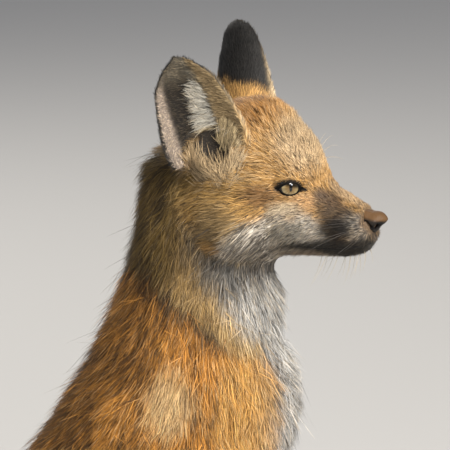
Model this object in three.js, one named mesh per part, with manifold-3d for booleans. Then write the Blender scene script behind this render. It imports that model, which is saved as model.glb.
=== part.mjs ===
// A young red fox, about ten weeks old, sitting upright with its head turned a little to its right.
// Life size, in millimetres. +X is the way the trunk faces, +Y the fox's left, +Z up.
// The origin is on the floor, in the middle of the flat that the rump sits on.
// Every form reaches out to the tips of the coat.
import * as THREE from "three";
import { mergeVertices } from "three/addons/utils/BufferGeometryUtils.js";
import Module from "manifold-3d";

const wasm = await Module();
wasm.setup();

const GAP = 0.3; // clearance between neighbouring forms
const FORWARD = new THREE.Vector3(1, 0, 0);
const UPWARD = new THREE.Vector3(0, 0, 1);
const SIDES = { left: 1, right: -1 };
const CAP_ROWS = 3; // rings that round off each end of a loft

// ---------------------------------------------------------------- tools

// A closed geometry as a solid. Only the positions are kept.
function solid(geometry) {
  const bare = geometry.clone();
  bare.deleteAttribute("normal");
  bare.deleteAttribute("uv");
  const merged = mergeVertices(bare, 1e-4);
  const shell = new wasm.Mesh({
    numProp: 3,
    vertProperties: new Float32Array(merged.attributes.position.array),
    triVerts: new Uint32Array(merged.index.array),
  });
  return new wasm.Manifold(shell);
}

// A solid as a named mesh in the given colour. Crumbs left by a cut are dropped.
function part(name, form, look) {
  const whole = form.decompose().reduce((most, piece) => (piece.volume() > most.volume() ? piece : most));
  const shell = whole.getMesh();
  const geometry = new THREE.BufferGeometry();
  geometry.setAttribute("position", new THREE.BufferAttribute(shell.vertProperties, 3));
  geometry.setIndex(new THREE.BufferAttribute(shell.triVerts, 1));
  geometry.computeVertexNormals();
  const mesh = new THREE.Mesh(geometry, look);
  mesh.name = name;
  return mesh;
}

// Moves every vertex of a geometry to where place(vertex) says.
function reshape(geometry, place) {
  const spots = geometry.attributes.position;
  const spot = new THREE.Vector3();
  for (let i = 0; i < spots.count; i++) {
    spot.fromBufferAttribute(spots, i);
    const moved = place(spot);
    spots.setXYZ(i, moved.x, moved.y, moved.z);
  }
  return geometry;
}

// A smooth body carried along a spine. Each station is a section: its centre `at`, its half width `side`,
// its half depths `front` and `back`, and how `square` it is (2 is an ellipse). `facing` is the way
// its front looks. Sections stand square to the spine, or to `axis` where one is given. `swells` lift the
// skin near a point, on both sides of the middle plane.
function loft(stations, { around = 20, rows = 18, facing = FORWARD, axis, ends = [1, 1], grow = 0, swells = [] } = {}) {
  const last = stations.length - 1;
  const track = new THREE.CubicInterpolant(
    stations.map((s, i) => i / last),
    stations.flatMap((s) => [...s.at, s.side, s.front, s.back ?? s.front, s.square ?? 2]),
    7,
  );
  const centreAt = (t) => new THREE.Vector3(...track.evaluate(THREE.MathUtils.clamp(t, 0, 1)));
  return reshape(new THREE.SphereGeometry(1, around, rows), (unit) => {
    const row = (Math.acos(THREE.MathUtils.clamp(unit.y, -1, 1)) / Math.PI) * rows;
    const turn = Math.atan2(unit.z, unit.x);
    const t = THREE.MathUtils.clamp((row - CAP_ROWS) / (rows - 2 * CAP_ROWS), 0, 1);
    const along = axis ?? centreAt(t + 0.02).sub(centreAt(t - 0.02)).normalize();
    const front = facing.clone().addScaledVector(along, -facing.dot(along)).normalize();
    const side = front.clone().cross(along);
    const [x, y, z, wide, fore, aft, square] = [...track.evaluate(t)];
    const deep = Math.sin(turn) > 0 ? fore : aft;
    const c = Math.cos(turn);
    const s = Math.sin(turn);
    const bulge = (Math.abs(c) ** square + Math.abs(s) ** square) ** (-1 / square);
    const capTurn = (Math.min(row, rows - row, CAP_ROWS) / CAP_ROWS) * (Math.PI / 2);
    const capReach = ((wide + (fore + aft) / 2) / 2 + grow) * Math.cos(capTurn);
    const endward = row < CAP_ROWS ? -ends[0] : row > rows - CAP_ROWS ? ends[1] : 0;
    const reach = bulge * Math.sin(capTurn);
    const centre = new THREE.Vector3(x, y, z);
    const skin = centre
      .clone()
      .addScaledVector(along, endward * capReach)
      .addScaledVector(side, c * (wide + grow) * reach)
      .addScaledVector(front, s * (deep + grow) * reach);
    const outward = skin.clone().sub(centre).normalize();
    for (const { at, size, lift } of swells) {
      const away = Math.hypot(skin.x - at[0], Math.abs(skin.y) - at[1], skin.z - at[2]) / size;
      skin.addScaledVector(outward, lift * Math.exp(-away * away));
    }
    return skin;
  });
}

const mirrored = ([x, y, z], hand) => [x, y * hand, z];
const ball = (at, [rx, ry, rz], around = 16, rows = 12) =>
  new THREE.SphereGeometry(1, around, rows).scale(rx, ry, rz).translate(...at);
const joined = (forms) => forms.reduce((all, form) => all.add(form));

const BIG = 1000;
// All that lies above (or, for keep -1, below) a plane through `at` with this normal.
function halfSpace(at, normal, keep = 1) {
  const block = new THREE.BoxGeometry(BIG, BIG, BIG).translate(0, 0, (keep * BIG) / 2);
  const turn = new THREE.Quaternion().setFromUnitVectors(UPWARD, normal.clone().normalize());
  return solid(block.applyQuaternion(turn).translate(...at));
}
const aboveFloor = halfSpace([0, 0, 0], UPWARD);

// ---------------------------------------------------------------- colours

const coat = (colour) => new THREE.MeshStandardMaterial({ color: colour, roughness: 0.85, metalness: 0 });
const RED_COAT = coat(0xb5763a);
const PALE_COAT = coat(0xd9d2c6);
const DARK_COAT = coat(0x2b2522);
const TAIL_COAT = coat(0x8c6238);
const NOSE_SKIN = new THREE.MeshStandardMaterial({ color: 0x1d1a19, roughness: 0.45, metalness: 0 });
const EYE = new THREE.MeshStandardMaterial({ color: 0xa9824a, roughness: 0.1, metalness: 0 });
const CLAW = new THREE.MeshStandardMaterial({ color: 0x2e2824, roughness: 0.4, metalness: 0 });

// ---------------------------------------------------------------- head

// The head has its own frame: origin in the middle of the skull, +X to the nose, level with the palate.
const HEAD_AT = [128, 0, 312.6];
const HEAD_TURN = -18; // degrees about the vertical, to the fox's right

const HEAD_SECTIONS = [
  { x: -38, top: 36, bottom: -2, side: 24, mid: 16 }, // occiput
  { x: -24, top: 49, bottom: -22, side: 37, mid: 8, square: 2.2 },
  { x: -8, top: 56, bottom: -29, side: 43, mid: -2, square: 2.3 }, // ears and widest cheek
  { x: 8, top: 60, bottom: -31, side: 43, mid: -4, square: 2.3 },
  { x: 22, top: 58, bottom: -30, side: 37, mid: -4, square: 2.3 },
  { x: 33, top: 48.5, bottom: -29, side: 30.5, mid: -3, square: 2.2 }, // eyes and brow
  { x: 43, top: 32, bottom: -29, side: 24.5, mid: -5, square: 2.1 },
  { x: 51, top: 18, bottom: -29, side: 19.5, mid: -8, square: 2.2 }, // stop
  { x: 59, top: 9.5, bottom: -28.5, side: 16.5, mid: -9, square: 2.4 },
  { x: 68, top: 5, bottom: -27.5, side: 14.5, mid: -10, square: 2.5 },
  { x: 76, top: 1, bottom: -24, side: 12, mid: -10, square: 2.4 }, // chin
  { x: 83, top: -2.5, bottom: -17.5, side: 9, mid: -9, square: 2.2 },
];
const HEAD_SWELLS = [
  { at: [4, 42, -16], size: 18, lift: 6 }, // cheek ruff
  { at: [-8, 34, 38], size: 14, lift: 5 }, // root of the ear
  { at: [38, 23, 28], size: 10, lift: 2.5 }, // brow over the eye
  { at: [70, 12, -13], size: 9, lift: 2 }, // whisker pad
  { at: [56, 18, 4], size: 9, lift: -1.5 }, // hollow before the eye
];
const headForm = (grow) =>
  loft(
    HEAD_SECTIONS.map(({ x, top, bottom, side, mid, square }) => ({
      at: [x, 0, mid],
      side,
      front: top - mid,
      back: mid - bottom,
      square,
    })),
    { around: 20, rows: 20, facing: UPWARD, axis: FORWARD, ends: [0.42, 0.3], grow, swells: HEAD_SWELLS },
  );

// The mouth is shut. The lips meet along a soft curve, and the lower jaw lies under it.
const MOUTH_LINE = [[35, -19], [48, -21], [62, -21.5], [75, -19.5], [90, -15]];
function jawRegion(clear) {
  const lips = MOUTH_LINE.map(([x, z]) => new THREE.Vector2(x, z + clear));
  const outline = new THREE.Shape();
  outline.moveTo(8 - clear, -60);
  outline.lineTo(16 - clear, -34);
  outline.lineTo(lips[0].x - clear, lips[0].y);
  outline.splineThru(lips.slice(1));
  outline.lineTo(90, -60);
  const across = 120;
  const slab = new THREE.ExtrudeGeometry(outline, { depth: across, bevelEnabled: false, curveSegments: 2 });
  return solid(slab.translate(0, 0, -across / 2).rotateX(Math.PI / 2));
}

// Bare nose leather with two nostrils, each open forward and slit to the side.
const NOSE = { at: [82, 0, -7.5], size: [6.2, 8, 6.4] };
const noseBall = (grow) => solid(ball(NOSE.at, NOSE.size.map((r) => r + grow), 12, 8));
const nostril = (hand) => solid(ball([88, 3.6 * hand, -8.5], [2.6, 1.9, 1.8], 6, 5));

// Eyes look out to the side and forward. The lids open on an almond with pointed corners.
const EYE_AT = [33.5, 20, 13];
const EYE_RADIUS = 8;
const EYE_LOOKS = new THREE.Vector3(0.64, 0.77, 0.03).normalize();
const LID = { long: 10.5, high: 5.2, tilt: 4 }; // half sizes of the opening, and degrees it rises to the back
function lidOpening(hand) {
  const radius = (LID.long ** 2 + LID.high ** 2) / (2 * LID.high);
  const shift = radius - LID.high;
  const almond = solid(ball([0, 0, shift], [radius, radius, radius], 14, 10)).intersect(
    solid(ball([0, 0, -shift], [radius, radius, radius], 14, 10)),
  );
  const looks = new THREE.Vector3(EYE_LOOKS.x, EYE_LOOKS.y * hand, EYE_LOOKS.z);
  const yaw = THREE.MathUtils.radToDeg(Math.atan2(looks.y, looks.x)) - 90;
  const front = new THREE.Vector3(...mirrored(EYE_AT, hand)).addScaledVector(looks, EYE_RADIUS);
  return almond.rotate([0, LID.tilt * hand, yaw]).translate(front.toArray());
}
const eyeBall = (hand, grow) =>
  solid(ball(mirrored(EYE_AT, hand), [EYE_RADIUS + grow, EYE_RADIUS + grow, EYE_RADIUS + grow], 12, 8));

// An ear is a tall shell, rolled into a tube at its root and open towards its tip.
const EAR = { tall: 90, halfWidth: 23.5, rootNarrow: 0.45, rootRoll: 110, tipRoll: 36, thick: 4.6, tipThick: 2.6 };
const EAR_POSE = { at: [-3, 26, 11], back: { left: 10, right: 13 }, out: 20, opens: 62 }; // degrees
function earSheet(which, hand, grow = 0) {
  const sheet = reshape(new THREE.BoxGeometry(2, 1, 1, 10, 1, 8), ({ x: across, y: depth, z: level }) => {
    const u = level + 0.5;
    const narrow = THREE.MathUtils.lerp(EAR.rootNarrow, 1, THREE.MathUtils.smoothstep(u, 0, 0.35));
    const width = Math.max(EAR.halfWidth * (1 - u ** 3) ** 0.65 * narrow, 1.5);
    const roll = THREE.MathUtils.degToRad(THREE.MathUtils.lerp(EAR.rootRoll, EAR.tipRoll, u ** 0.8));
    const radius = width / Math.sin(Math.min(roll, Math.PI / 2));
    const edge = 1 - 0.5 * Math.abs(across) ** 4;
    const thick = THREE.MathUtils.lerp(EAR.thick, EAR.tipThick, u) * edge + 2 * grow;
    const arm = radius + thick * depth;
    const angle = across * roll;
    return new THREE.Vector3(radius * 0.6 - arm * Math.cos(angle), arm * Math.sin(angle), EAR.tall * u);
  });
  // In the sheet's own frame the opening looks along +X and the ear stands along +Z.
  sheet.rotateZ(THREE.MathUtils.degToRad(EAR_POSE.opens * hand));
  sheet.rotateX(THREE.MathUtils.degToRad(-EAR_POSE.out * hand));
  sheet.rotateY(THREE.MathUtils.degToRad(-EAR_POSE.back[which]));
  return sheet.translate(...mirrored(EAR_POSE.at, hand));
}

const headGroup = new THREE.Group();
headGroup.position.set(...HEAD_AT);
headGroup.rotation.z = THREE.MathUtils.degToRad(HEAD_TURN);
headGroup.updateMatrix();

const hands = Object.entries(SIDES);
const skull = hands.reduce(
  (form, [, hand]) => form.subtract(eyeBall(hand, GAP)).subtract(lidOpening(hand)),
  solid(headForm(0)).subtract(noseBall(GAP)),
);
headGroup.add(part("head", skull.subtract(jawRegion(GAP)), RED_COAT));
headGroup.add(part("lower_jaw", skull.intersect(jawRegion(0)), PALE_COAT));
headGroup.add(part("nose", hands.reduce((form, [, hand]) => form.subtract(nostril(hand)), noseBall(0)), NOSE_SKIN));
const headGrown = solid(headForm(GAP));
for (const [which, hand] of hands) {
  headGroup.add(part(`eye_${which}`, eyeBall(hand, 0), EYE));
  headGroup.add(part(`ear_${which}`, solid(earSheet(which, hand)).subtract(headGrown), DARK_COAT));
}

// ---------------------------------------------------------------- trunk and neck

// One column of sections runs from the rump up through the trunk and neck into the back of the head.
const COLUMN = [
  { at: [0, 0, 28], side: 42, front: 40 }, // rump
  { at: [17, 0, 64], side: 50, front: 52 },
  { at: [42, 0, 105], side: 53, front: 58 }, // belly
  { at: [68, 0, 146], side: 52, front: 60 },
  { at: [88, 0, 187], side: 50, front: 60 }, // shoulders
  { at: [99, 0, 224], side: 44, front: 54 },
  { at: [105, 0, 257], side: 38, front: 48 }, // neck
  { at: [107, 0, 291], side: 35, front: 41 },
  { at: [107, 0, 332], side: 28, front: 35 }, // behind the ears
];
const COLUMN_MESH = { around: 20, rows: 18, ends: [0.8, 0.5] };
const CHEST_RUFF = { at: [120, 0, 202], size: [44, 37, 60] };
const NECK_ROOT = { at: [97, 0, 226], lean: new THREE.Vector3(0.447, 0, 0.894) };

const columnForm = (grow) =>
  solid(loft(COLUMN, { ...COLUMN_MESH, grow })).add(
    solid(ball(CHEST_RUFF.at, CHEST_RUFF.size.map((r) => r + grow), 16, 10)),
  );
const column = columnForm(0);
const neckBase = NECK_ROOT.at.map((v, i) => v + NECK_ROOT.lean.toArray()[i] * GAP);
const trunk = column.intersect(halfSpace(NECK_ROOT.at, NECK_ROOT.lean, -1)).intersect(aboveFloor);
const inPlace = (geometry) => solid(geometry.applyMatrix4(headGroup.matrix));
const earsThere = hands.map(([which, hand]) => inPlace(earSheet(which, hand, GAP)));
const neck = earsThere.reduce(
  (form, ear) => form.subtract(ear),
  column.intersect(halfSpace(neckBase, NECK_ROOT.lean)).subtract(inPlace(headForm(GAP))),
);

// ---------------------------------------------------------------- legs

const FORELEG = [
  { at: [100, 33, 172], side: 17, front: 30 }, // shoulder
  { at: [103, 36, 138], side: 17, front: 28 },
  { at: [108, 34, 106], side: 14, front: 21 }, // elbow
  { at: [117, 31, 74], side: 11.5, front: 14.5 },
  { at: [124, 29, 44], side: 10.5, front: 12 }, // wrist
  { at: [128, 28, 24], side: 10.5, front: 12 },
];
const FOREPAW = { toes: [145, 27, 9], spread: 6.6, toe: [12, 6, 9.6] };
const PALM = [
  { at: [120, 27, 12], side: 11, front: 13 }, // heel of the paw
  { at: [130, 27, 10.5], side: 14, front: 12 },
  { at: [141, 27, 9.5], side: 15, front: 10.5 },
];

const THIGH = [
  { at: [10, 30, 78], side: 24, front: 38 }, // hip
  { at: [46, 41, 72], side: 25, front: 46 },
  { at: [80, 48, 64], side: 22, front: 38 },
  { at: [98, 50, 54], side: 17, front: 25 }, // knee
];
const SHANK = [
  { at: [92, 51, 44], side: 16, front: 19 },
  { at: [52, 50, 32], side: 15, front: 18 },
  { at: [12, 46, 22], side: 12, front: 14 }, // hock
];
const HINDFOOT = [
  { at: [4, 45, 12], side: 10, front: 12 }, // heel
  { at: [34, 48, 11], side: 10.5, front: 12 },
  { at: [64, 51, 10.5], side: 11.5, front: 11.5 },
  { at: [92, 53, 10], side: 14, front: 11 },
];
const HIND_TOES = { toes: [104, 54, 9], spread: 6.6, toe: [12, 6, 9.4] };

const withHand = (stations, hand) => stations.map((s) => ({ ...s, at: mirrored(s.at, hand) }));
// The four toe balls of a paw, the two middle ones a little ahead.
const TOE_STEPS = [-1.5, -0.5, 0.5, 1.5];
function toeSpots({ toes, spread }, hand) {
  return TOE_STEPS.map((step) => {
    const lead = Math.abs(step) < 1 ? 4 : -3;
    return [toes[0] + lead, (toes[1] + step * spread) * hand, toes[2]];
  });
}
const toesOf = (paw, hand) => toeSpots(paw, hand).map((at) => solid(ball(at, paw.toe, 7, 5)));

// A claw curves forward and down out of the fur of its toe.
function clawForm([x, y, z], reach) {
  const stations = [
    { at: [x + reach - 5, y, z + 0.6], side: 1.5, front: 2 },
    { at: [x + reach - 1, y, z - 0.4], side: 1.2, front: 1.5 },
    { at: [x + reach + 2.6, y, z - 3.4], side: 0.6, front: 0.7 },
  ];
  return solid(loft(stations, { around: 5, rows: 7, ends: [0.6, 0.8] }));
}

const columnThere = columnForm(GAP);
const legs = [];
for (const [which, hand] of hands) {
  const foot = (grow) =>
    joined([
      solid(loft(withHand(HINDFOOT, hand), { around: 8, rows: 9, facing: UPWARD, ends: [0.8, 0.5], grow })),
      ...toesOf({ ...HIND_TOES, toe: HIND_TOES.toe.map((r) => r + grow) }, hand),
    ]);
  const forepaw = (grow) =>
    joined([
      solid(loft(withHand(PALM, hand), { around: 8, rows: 8, facing: UPWARD, ends: [0.6, 0.5], grow })),
      ...toesOf({ ...FOREPAW, toe: FOREPAW.toe.map((r) => r + grow) }, hand),
    ]);
  const arm = (grow) => solid(loft(withHand(FORELEG, hand), { around: 10, rows: 11, ends: [0.9, 0.8], grow }));
  const foreleg = arm(0).subtract(columnThere).subtract(forepaw(GAP));
  const hindleg = joined([
    solid(loft(withHand(THIGH, hand), { around: 14, rows: 11, facing: UPWARD, ends: [0.9, 0.9] })),
    solid(loft(withHand(SHANK, hand), { around: 8, rows: 8, facing: UPWARD, ends: [0.9, 0.9] })),
  ])
    .subtract(columnThere)
    .subtract(arm(GAP))
    .subtract(foot(GAP));
  const parts = {
    [`foreleg_${which}`]: [foreleg, RED_COAT],
    [`forepaw_${which}`]: [forepaw(0), DARK_COAT],
    [`hindleg_${which}`]: [hindleg, RED_COAT],
    [`hindfoot_${which}`]: [foot(0).subtract(columnThere), DARK_COAT],
  };
  for (const [name, [form, look]] of Object.entries(parts)) legs.push(part(name, form.intersect(aboveFloor), look));
  for (const [limb, paw, grown] of [["fore", FOREPAW, forepaw(GAP)], ["hind", HIND_TOES, foot(GAP)]]) {
    toeSpots(paw, hand).forEach((at, i) => {
      legs.push(part(`claw_${limb}_${which}_${i + 1}`, clawForm(at, paw.toe[0]).subtract(grown), CLAW));
    });
  }
}

// ---------------------------------------------------------------- tail

// The brush leaves the rump low, lies on the floor and sweeps round the right haunch.
const TAIL = [
  { at: [-20, 0, 40], side: 15, front: 15 },
  { at: [-46, -4, 31], side: 20, front: 19 },
  { at: [-70, -20, 24], side: 23, front: 22 },
  { at: [-83, -50, 21], side: 24.5, front: 23 },
  { at: [-73, -84, 21], side: 24.5, front: 23 },
  { at: [-46, -104, 20], side: 23, front: 22 },
  { at: [-14, -112, 17], side: 19, front: 18.5 },
  { at: [12, -112, 11], side: 11, front: 12 },
];
// Two thin cuts part it in three lengths: one across the middle of the curl, one before the white tip.
const CURL_CUT_Y = -52;
const TIP_CUT = { at: [-26, -110, 20], along: new THREE.Vector3(0.97, -0.24, 0) };
const brush = solid(loft(TAIL, { around: 12, rows: 18, facing: UPWARD, ends: [1, 1.3] }))
  .intersect(aboveFloor)
  .subtract(columnThere);
const RIGHTWARD = new THREE.Vector3(0, -1, 0);
const curl = brush.intersect(halfSpace([0, CURL_CUT_Y - GAP, 0], RIGHTWARD));
const tipGap = TIP_CUT.at.map((v, i) => v - TIP_CUT.along.toArray()[i] * GAP);
const tail = {
  tail_base: [brush.subtract(halfSpace([0, CURL_CUT_Y, 0], RIGHTWARD)), TAIL_COAT],
  tail_middle: [curl.subtract(halfSpace(tipGap, TIP_CUT.along)), TAIL_COAT],
  tail_tip: [curl.intersect(halfSpace(TIP_CUT.at, TIP_CUT.along)), PALE_COAT],
};

const root = new THREE.Group();
root.add(headGroup, part("trunk", trunk, RED_COAT), part("neck", neck, PALE_COAT), ...legs);
for (const [name, [form, look]] of Object.entries(tail)) root.add(part(name, form, look));

export default root;
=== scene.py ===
import math

import bpy
import numpy as np
import openvdb as vdb
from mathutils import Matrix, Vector
from mathutils.bvhtree import BVHTree
from mathutils.kdtree import KDTree


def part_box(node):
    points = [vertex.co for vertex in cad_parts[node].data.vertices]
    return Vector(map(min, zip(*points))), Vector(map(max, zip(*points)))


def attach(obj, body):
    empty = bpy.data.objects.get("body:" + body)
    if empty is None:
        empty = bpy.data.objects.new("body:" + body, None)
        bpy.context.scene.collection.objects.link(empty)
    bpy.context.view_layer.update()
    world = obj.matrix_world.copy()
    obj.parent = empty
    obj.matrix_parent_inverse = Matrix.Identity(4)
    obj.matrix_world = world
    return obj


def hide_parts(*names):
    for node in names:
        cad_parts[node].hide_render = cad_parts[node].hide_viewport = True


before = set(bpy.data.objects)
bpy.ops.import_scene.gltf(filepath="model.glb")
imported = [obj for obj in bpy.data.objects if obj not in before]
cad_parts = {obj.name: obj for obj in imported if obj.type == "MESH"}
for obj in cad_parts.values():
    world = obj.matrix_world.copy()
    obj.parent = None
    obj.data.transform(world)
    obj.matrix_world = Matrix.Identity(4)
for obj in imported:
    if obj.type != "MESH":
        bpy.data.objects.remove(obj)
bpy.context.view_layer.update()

# ---------------------------------------------------------------- skin
# The hide that all the hair grows from: one thin leathery skin without a seam, drawn tight over
# head, neck, trunk, legs and tail. It lies under the hair tips by the depth of the coat, which is
# least on the muzzle, ears and feet and most on the neck, chest and brush.
MM = 0.001
VOXEL = 1.1  # mm, the fineness in which the forms are melted together
BAND = 8  # voxels on each side of a surface in which its distance is known
CLAY = [  # solids, and how softly each runs into those before it, in mm
    ("trunk", 1), ("neck", 2.5),
    ("hindleg_left", 9), ("hindleg_right", 9), ("foreleg_left", 7), ("foreleg_right", 7),
    ("hindfoot_left", 4), ("hindfoot_right", 4), ("forepaw_left", 3), ("forepaw_right", 3),
    ("tail_base", 9), ("tail_middle", 2.5), ("tail_tip", 2.5),
]
HEAD_CLAY = [("head", 1), ("lower_jaw", 2.5), ("eye_left", 2.5), ("eye_right", 2.5), ("nose", 2)]
EAR_CLAY = [("ear_left", 4), ("ear_right", 4)]
EAR_TIPS = {"ear_left": 1.0, "ear_right": 4.5}  # mm off the top
EAR_GAIN = .6  # mm by which an ear's form is let out all round
EAR_ROUND = 9  # mm over which its tip is rounded
EAR_LOBE = 14  # mm of its root that are left out, as the fur of the head would hide them
EAR_MOUTH, EAR_MOUTH_SIZE = (-37, 48, 24), (14, 17, 17)  # forward, outward, up; half sizes
EAR_MOUTH_EASE = 5  # mm over which the edge of that opening is rounded
HEAD_TO_NECK = 9  # mm over which the head runs into the neck
REGIONS = [name for name, _ in CLAY + HEAD_CLAY + EAR_CLAY]


def unit(v):
    return v / np.maximum(np.linalg.norm(v, axis=-1, keepdims=True), 1e-9)


def solid_of(name):
    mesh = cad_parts[name].data
    points = np.empty(len(mesh.vertices) * 3, np.float32)
    mesh.vertices.foreach_get("co", points)
    corners = np.empty(len(mesh.loops), np.int32)
    mesh.loops.foreach_get("vertex_index", corners)
    return points.reshape(-1, 3) / MM, corners.reshape(-1, 3).astype(np.uint32)


low = np.array([solid_of(n)[0].min(0) for n in REGIONS]).min(0)
high = np.array([solid_of(n)[0].max(0) for n in REGIONS]).max(0)
corner = np.floor(low / VOXEL).astype(int) - BAND - 1
extent = np.ceil(high / VOXEL).astype(int) + BAND + 2 - corner
scale = vdb.createLinearTransform(VOXEL)
FAR = BAND * VOXEL


def middle(name):
    a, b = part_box(name)
    return (np.array(a) + np.array(b)) / 2 / MM


eye_left, eye_right = middle("eye_left"), middle("eye_right")
brow = (eye_left + eye_right) / 2
leftward = unit(eye_left - eye_right)
HEAD_FRAME = np.array([np.cross(leftward, (0, 0, 1)), leftward, (0, 0, 1)])  # forward, left, up


def melt(a, b, soft):
    """The nearer of two distances, run together where both are close."""
    nearer = np.minimum(a, b)
    overlap = np.clip(soft - np.abs(a - b), 0, None) / soft
    return np.where(nearer < FAR * 0.95, nearer - overlap * overlap * soft / 4, nearer)


def carved(a, b, soft):
    """Form a with form b taken out of it, its edge eased."""
    return -melt(-a, b, soft)


def melted(clay, owner, whole):
    """The solids run into the whole one by one; owner keeps which of them each cell belongs to."""
    for name, soft in clay:
        points, faces = solid_of(name)
        grid = vdb.FloatGrid.createLevelSetFromPolygons(
            points, triangles=faces, transform=scale, halfWidth=BAND
        )
        start = np.floor(points.min(0) / VOXEL).astype(int) - BAND
        stop = np.ceil(points.max(0) / VOXEL).astype(int) + BAND
        part = np.empty(stop - start, np.float32)
        grid.copyToArray(part, ijk=tuple(int(v) for v in start))
        if name in EAR_TIPS:
            height = (np.arange(start[2], stop[2]) * VOXEL).astype(np.float32)
            part = np.maximum(part - EAR_GAIN, points[:, 2].min() + EAR_LOBE - height)
            part = -melt(-part, points[:, 2].max() - EAR_TIPS[name] - height + 0 * part, EAR_ROUND)
        here = tuple(slice(a, b) for a, b in zip(start - corner, stop - corner))
        owner[here] = np.where(part < whole[here], REGIONS.index(name), owner[here])
        whole[here] = melt(part, whole[here], soft)
    return whole


def lump(place, sizes):
    """An egg form at a place on the head, in the whole volume."""
    cells = np.stack(np.meshgrid(*(np.arange(n, dtype=np.float32) for n in extent), indexing="ij"), -1)
    at = (np.array(place) @ HEAD_FRAME + brow).astype(np.float32)
    cells = (cells + corner.astype(np.float32)) * VOXEL - at
    away = np.linalg.norm(cells @ HEAD_FRAME.T.astype(np.float32) / np.array(sizes, np.float32), axis=-1)
    return (away - 1) * min(sizes)


owner = np.zeros(extent, np.uint8)
body = melted(CLAY, owner, np.full(extent, FAR, np.float32))
head_owner = np.zeros(extent, np.uint8)
skull = melted(HEAD_CLAY, head_owner, np.full(extent, FAR, np.float32))
for hand in (1, -1):  # the mouth of each ear, open down to its root
    skull = carved(skull, lump(np.array(EAR_MOUTH) * (1, hand, 1), EAR_MOUTH_SIZE), EAR_MOUTH_EASE)
skull = melted(EAR_CLAY, head_owner, skull)
owner = np.where(skull < body, head_owner, owner)
body = melt(body, skull, HEAD_TO_NECK)
grid = vdb.FloatGrid(FAR)
grid.copyFromArray(body, ijk=tuple(int(v) for v in corner))
grid.transform = scale
grid.gridClass = vdb.GridClass.LEVEL_SET
hide, quads = grid.convertToQuads(isovalue=0.0)

# Hair lies the way a groomer would comb it. Each stroke has a place, the lie of the hair there and
# the depth of the coat in mm. On the head, places are in mm forward, outward and up from midway
# between the eyes. On the body they are shares of a solid's box, outward from the middle plane.
HEAD_STROKES = [
    ((46, 4, -15), (-1, .2, .1), .8), ((30, 0, -8), (-1, 0, .15), 1.0),
    ((30, 14, -20), (-1, .1, -.15), 1.0), ((45, 8, -28), (-.9, .2, -.4), 1.0),
    ((20, 14, -31), (-1, .1, -.25), 1.3), ((35, 5, -38), (-1, 0, -.1), 1.2),
    ((10, 12, -42), (-1, .1, -.15), 2.0), ((-15, 20, -44), (-.8, .1, -.6), 4.0),
    ((8, 20, -14), (-1, .2, -.15), 1.8), ((14, 16, 2), (-1, .1, .25), 1.2),
    ((0, 18, 15), (-.85, .1, .5), 2.2), ((-5, 0, 30), (-.7, .1, .7), 3.5),
    ((15, 0, 5), (-.8, 0, .6), 1.5), ((-35, 0, 46), (-1, .1, .05), 4.5),
    ((-30, 25, 34), (-.7, .2, .6), 3.0), ((-18, 34, 8), (-1, .2, .1), 4.0),
    ((-25, 42, -18), (-.9, .3, -.35), 6.5), ((-20, 36, -34), (-.75, .25, -.7), 6.5),
    ((-50, 38, -20), (-.8, .3, -.6), 8.0), ((-70, 0, 25), (-.6, 0, -.8), 7.0),
    ((-60, 30, 5), (-.7, .2, -.6), 6.0),
]
BODY_STROKES = [
    ("neck", (.24, 0, .95), (-.35, 0, -.95), 9), ("neck", (.12, 0, .6), (-.3, 0, -1), 10),
    ("neck", (0, 0, .15), (-.45, 0, -.9), 11), ("neck", (.5, .75, .85), (-.2, 0, -1), 9),
    ("neck", (.5, .95, .5), (-.1, 0, -1), 10), ("neck", (.72, 0, .9), (0, 0, -1), 6),
    ("neck", (.8, 0, .6), (.05, 0, -1), 9), ("neck", (.75, .6, .6), (.05, 0, -1), 9),
    ("neck", (.95, 0, .2), (.12, 0, -1), 11), ("trunk", (1, 0, .8), (.1, 0, -1), 11),
    ("trunk", (.85, .7, .8), (-.05, 0, -1), 10), ("trunk", (.62, 1, .72), (-.35, 0, -.93), 8),
    ("trunk", (.3, 0, .78), (-.5, 0, -.85), 9), ("trunk", (.4, .8, .6), (-.5, 0, -.85), 8),
    ("trunk", (.1, 0, .5), (-.55, 0, -.83), 9), ("trunk", (.45, 1, .4), (-.4, 0, -.9), 8),
    ("trunk", (0, 0, .15), (-.6, 0, -.8), 9), ("trunk", (.7, 0, .3), (-.3, 0, -.95), 7),
    ("trunk", (.85, 0, .45), (-.1, 0, -1), 8),
    ("foreleg_left", (.5, 1, .85), (-.1, 0, -1), 6), ("foreleg_left", (0, .6, .45), (-.3, 0, -.95), 4),
    ("foreleg_left", (.7, .5, .35), (0, 0, -1), 2.5), ("foreleg_left", (.8, .5, .1), (.1, 0, -1), 2),
    ("forepaw_left", (.3, .5, 1), (.6, 0, -.8), 1.5), ("forepaw_left", (.9, .5, .6), (.9, 0, -.4), 1.2),
    ("forepaw_left", (0, .5, .5), (0, 0, -1), 1.5),
    ("hindleg_left", (.4, .9, .95), (-.3, 0, -.95), 7), ("hindleg_left", (.5, 1, .6), (-.3, 0, -.95), 6),
    ("hindleg_left", (1, .6, .6), (.1, 0, -1), 4), ("hindleg_left", (0, .8, .5), (-.5, 0, -.85), 8),
    ("hindleg_left", (.05, .8, .1), (.2, 0, -.95), 3), ("hindleg_left", (.7, 0, .5), (-.2, 0, -1), 4),
    ("hindfoot_left", (.2, .6, .8), (.9, 0, -.3), 2), ("hindfoot_left", (.6, .6, .9), (1, 0, -.2), 1.5),
    ("hindfoot_left", (.95, .6, .6), (.9, 0, -.4), 1.2),
]
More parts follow.
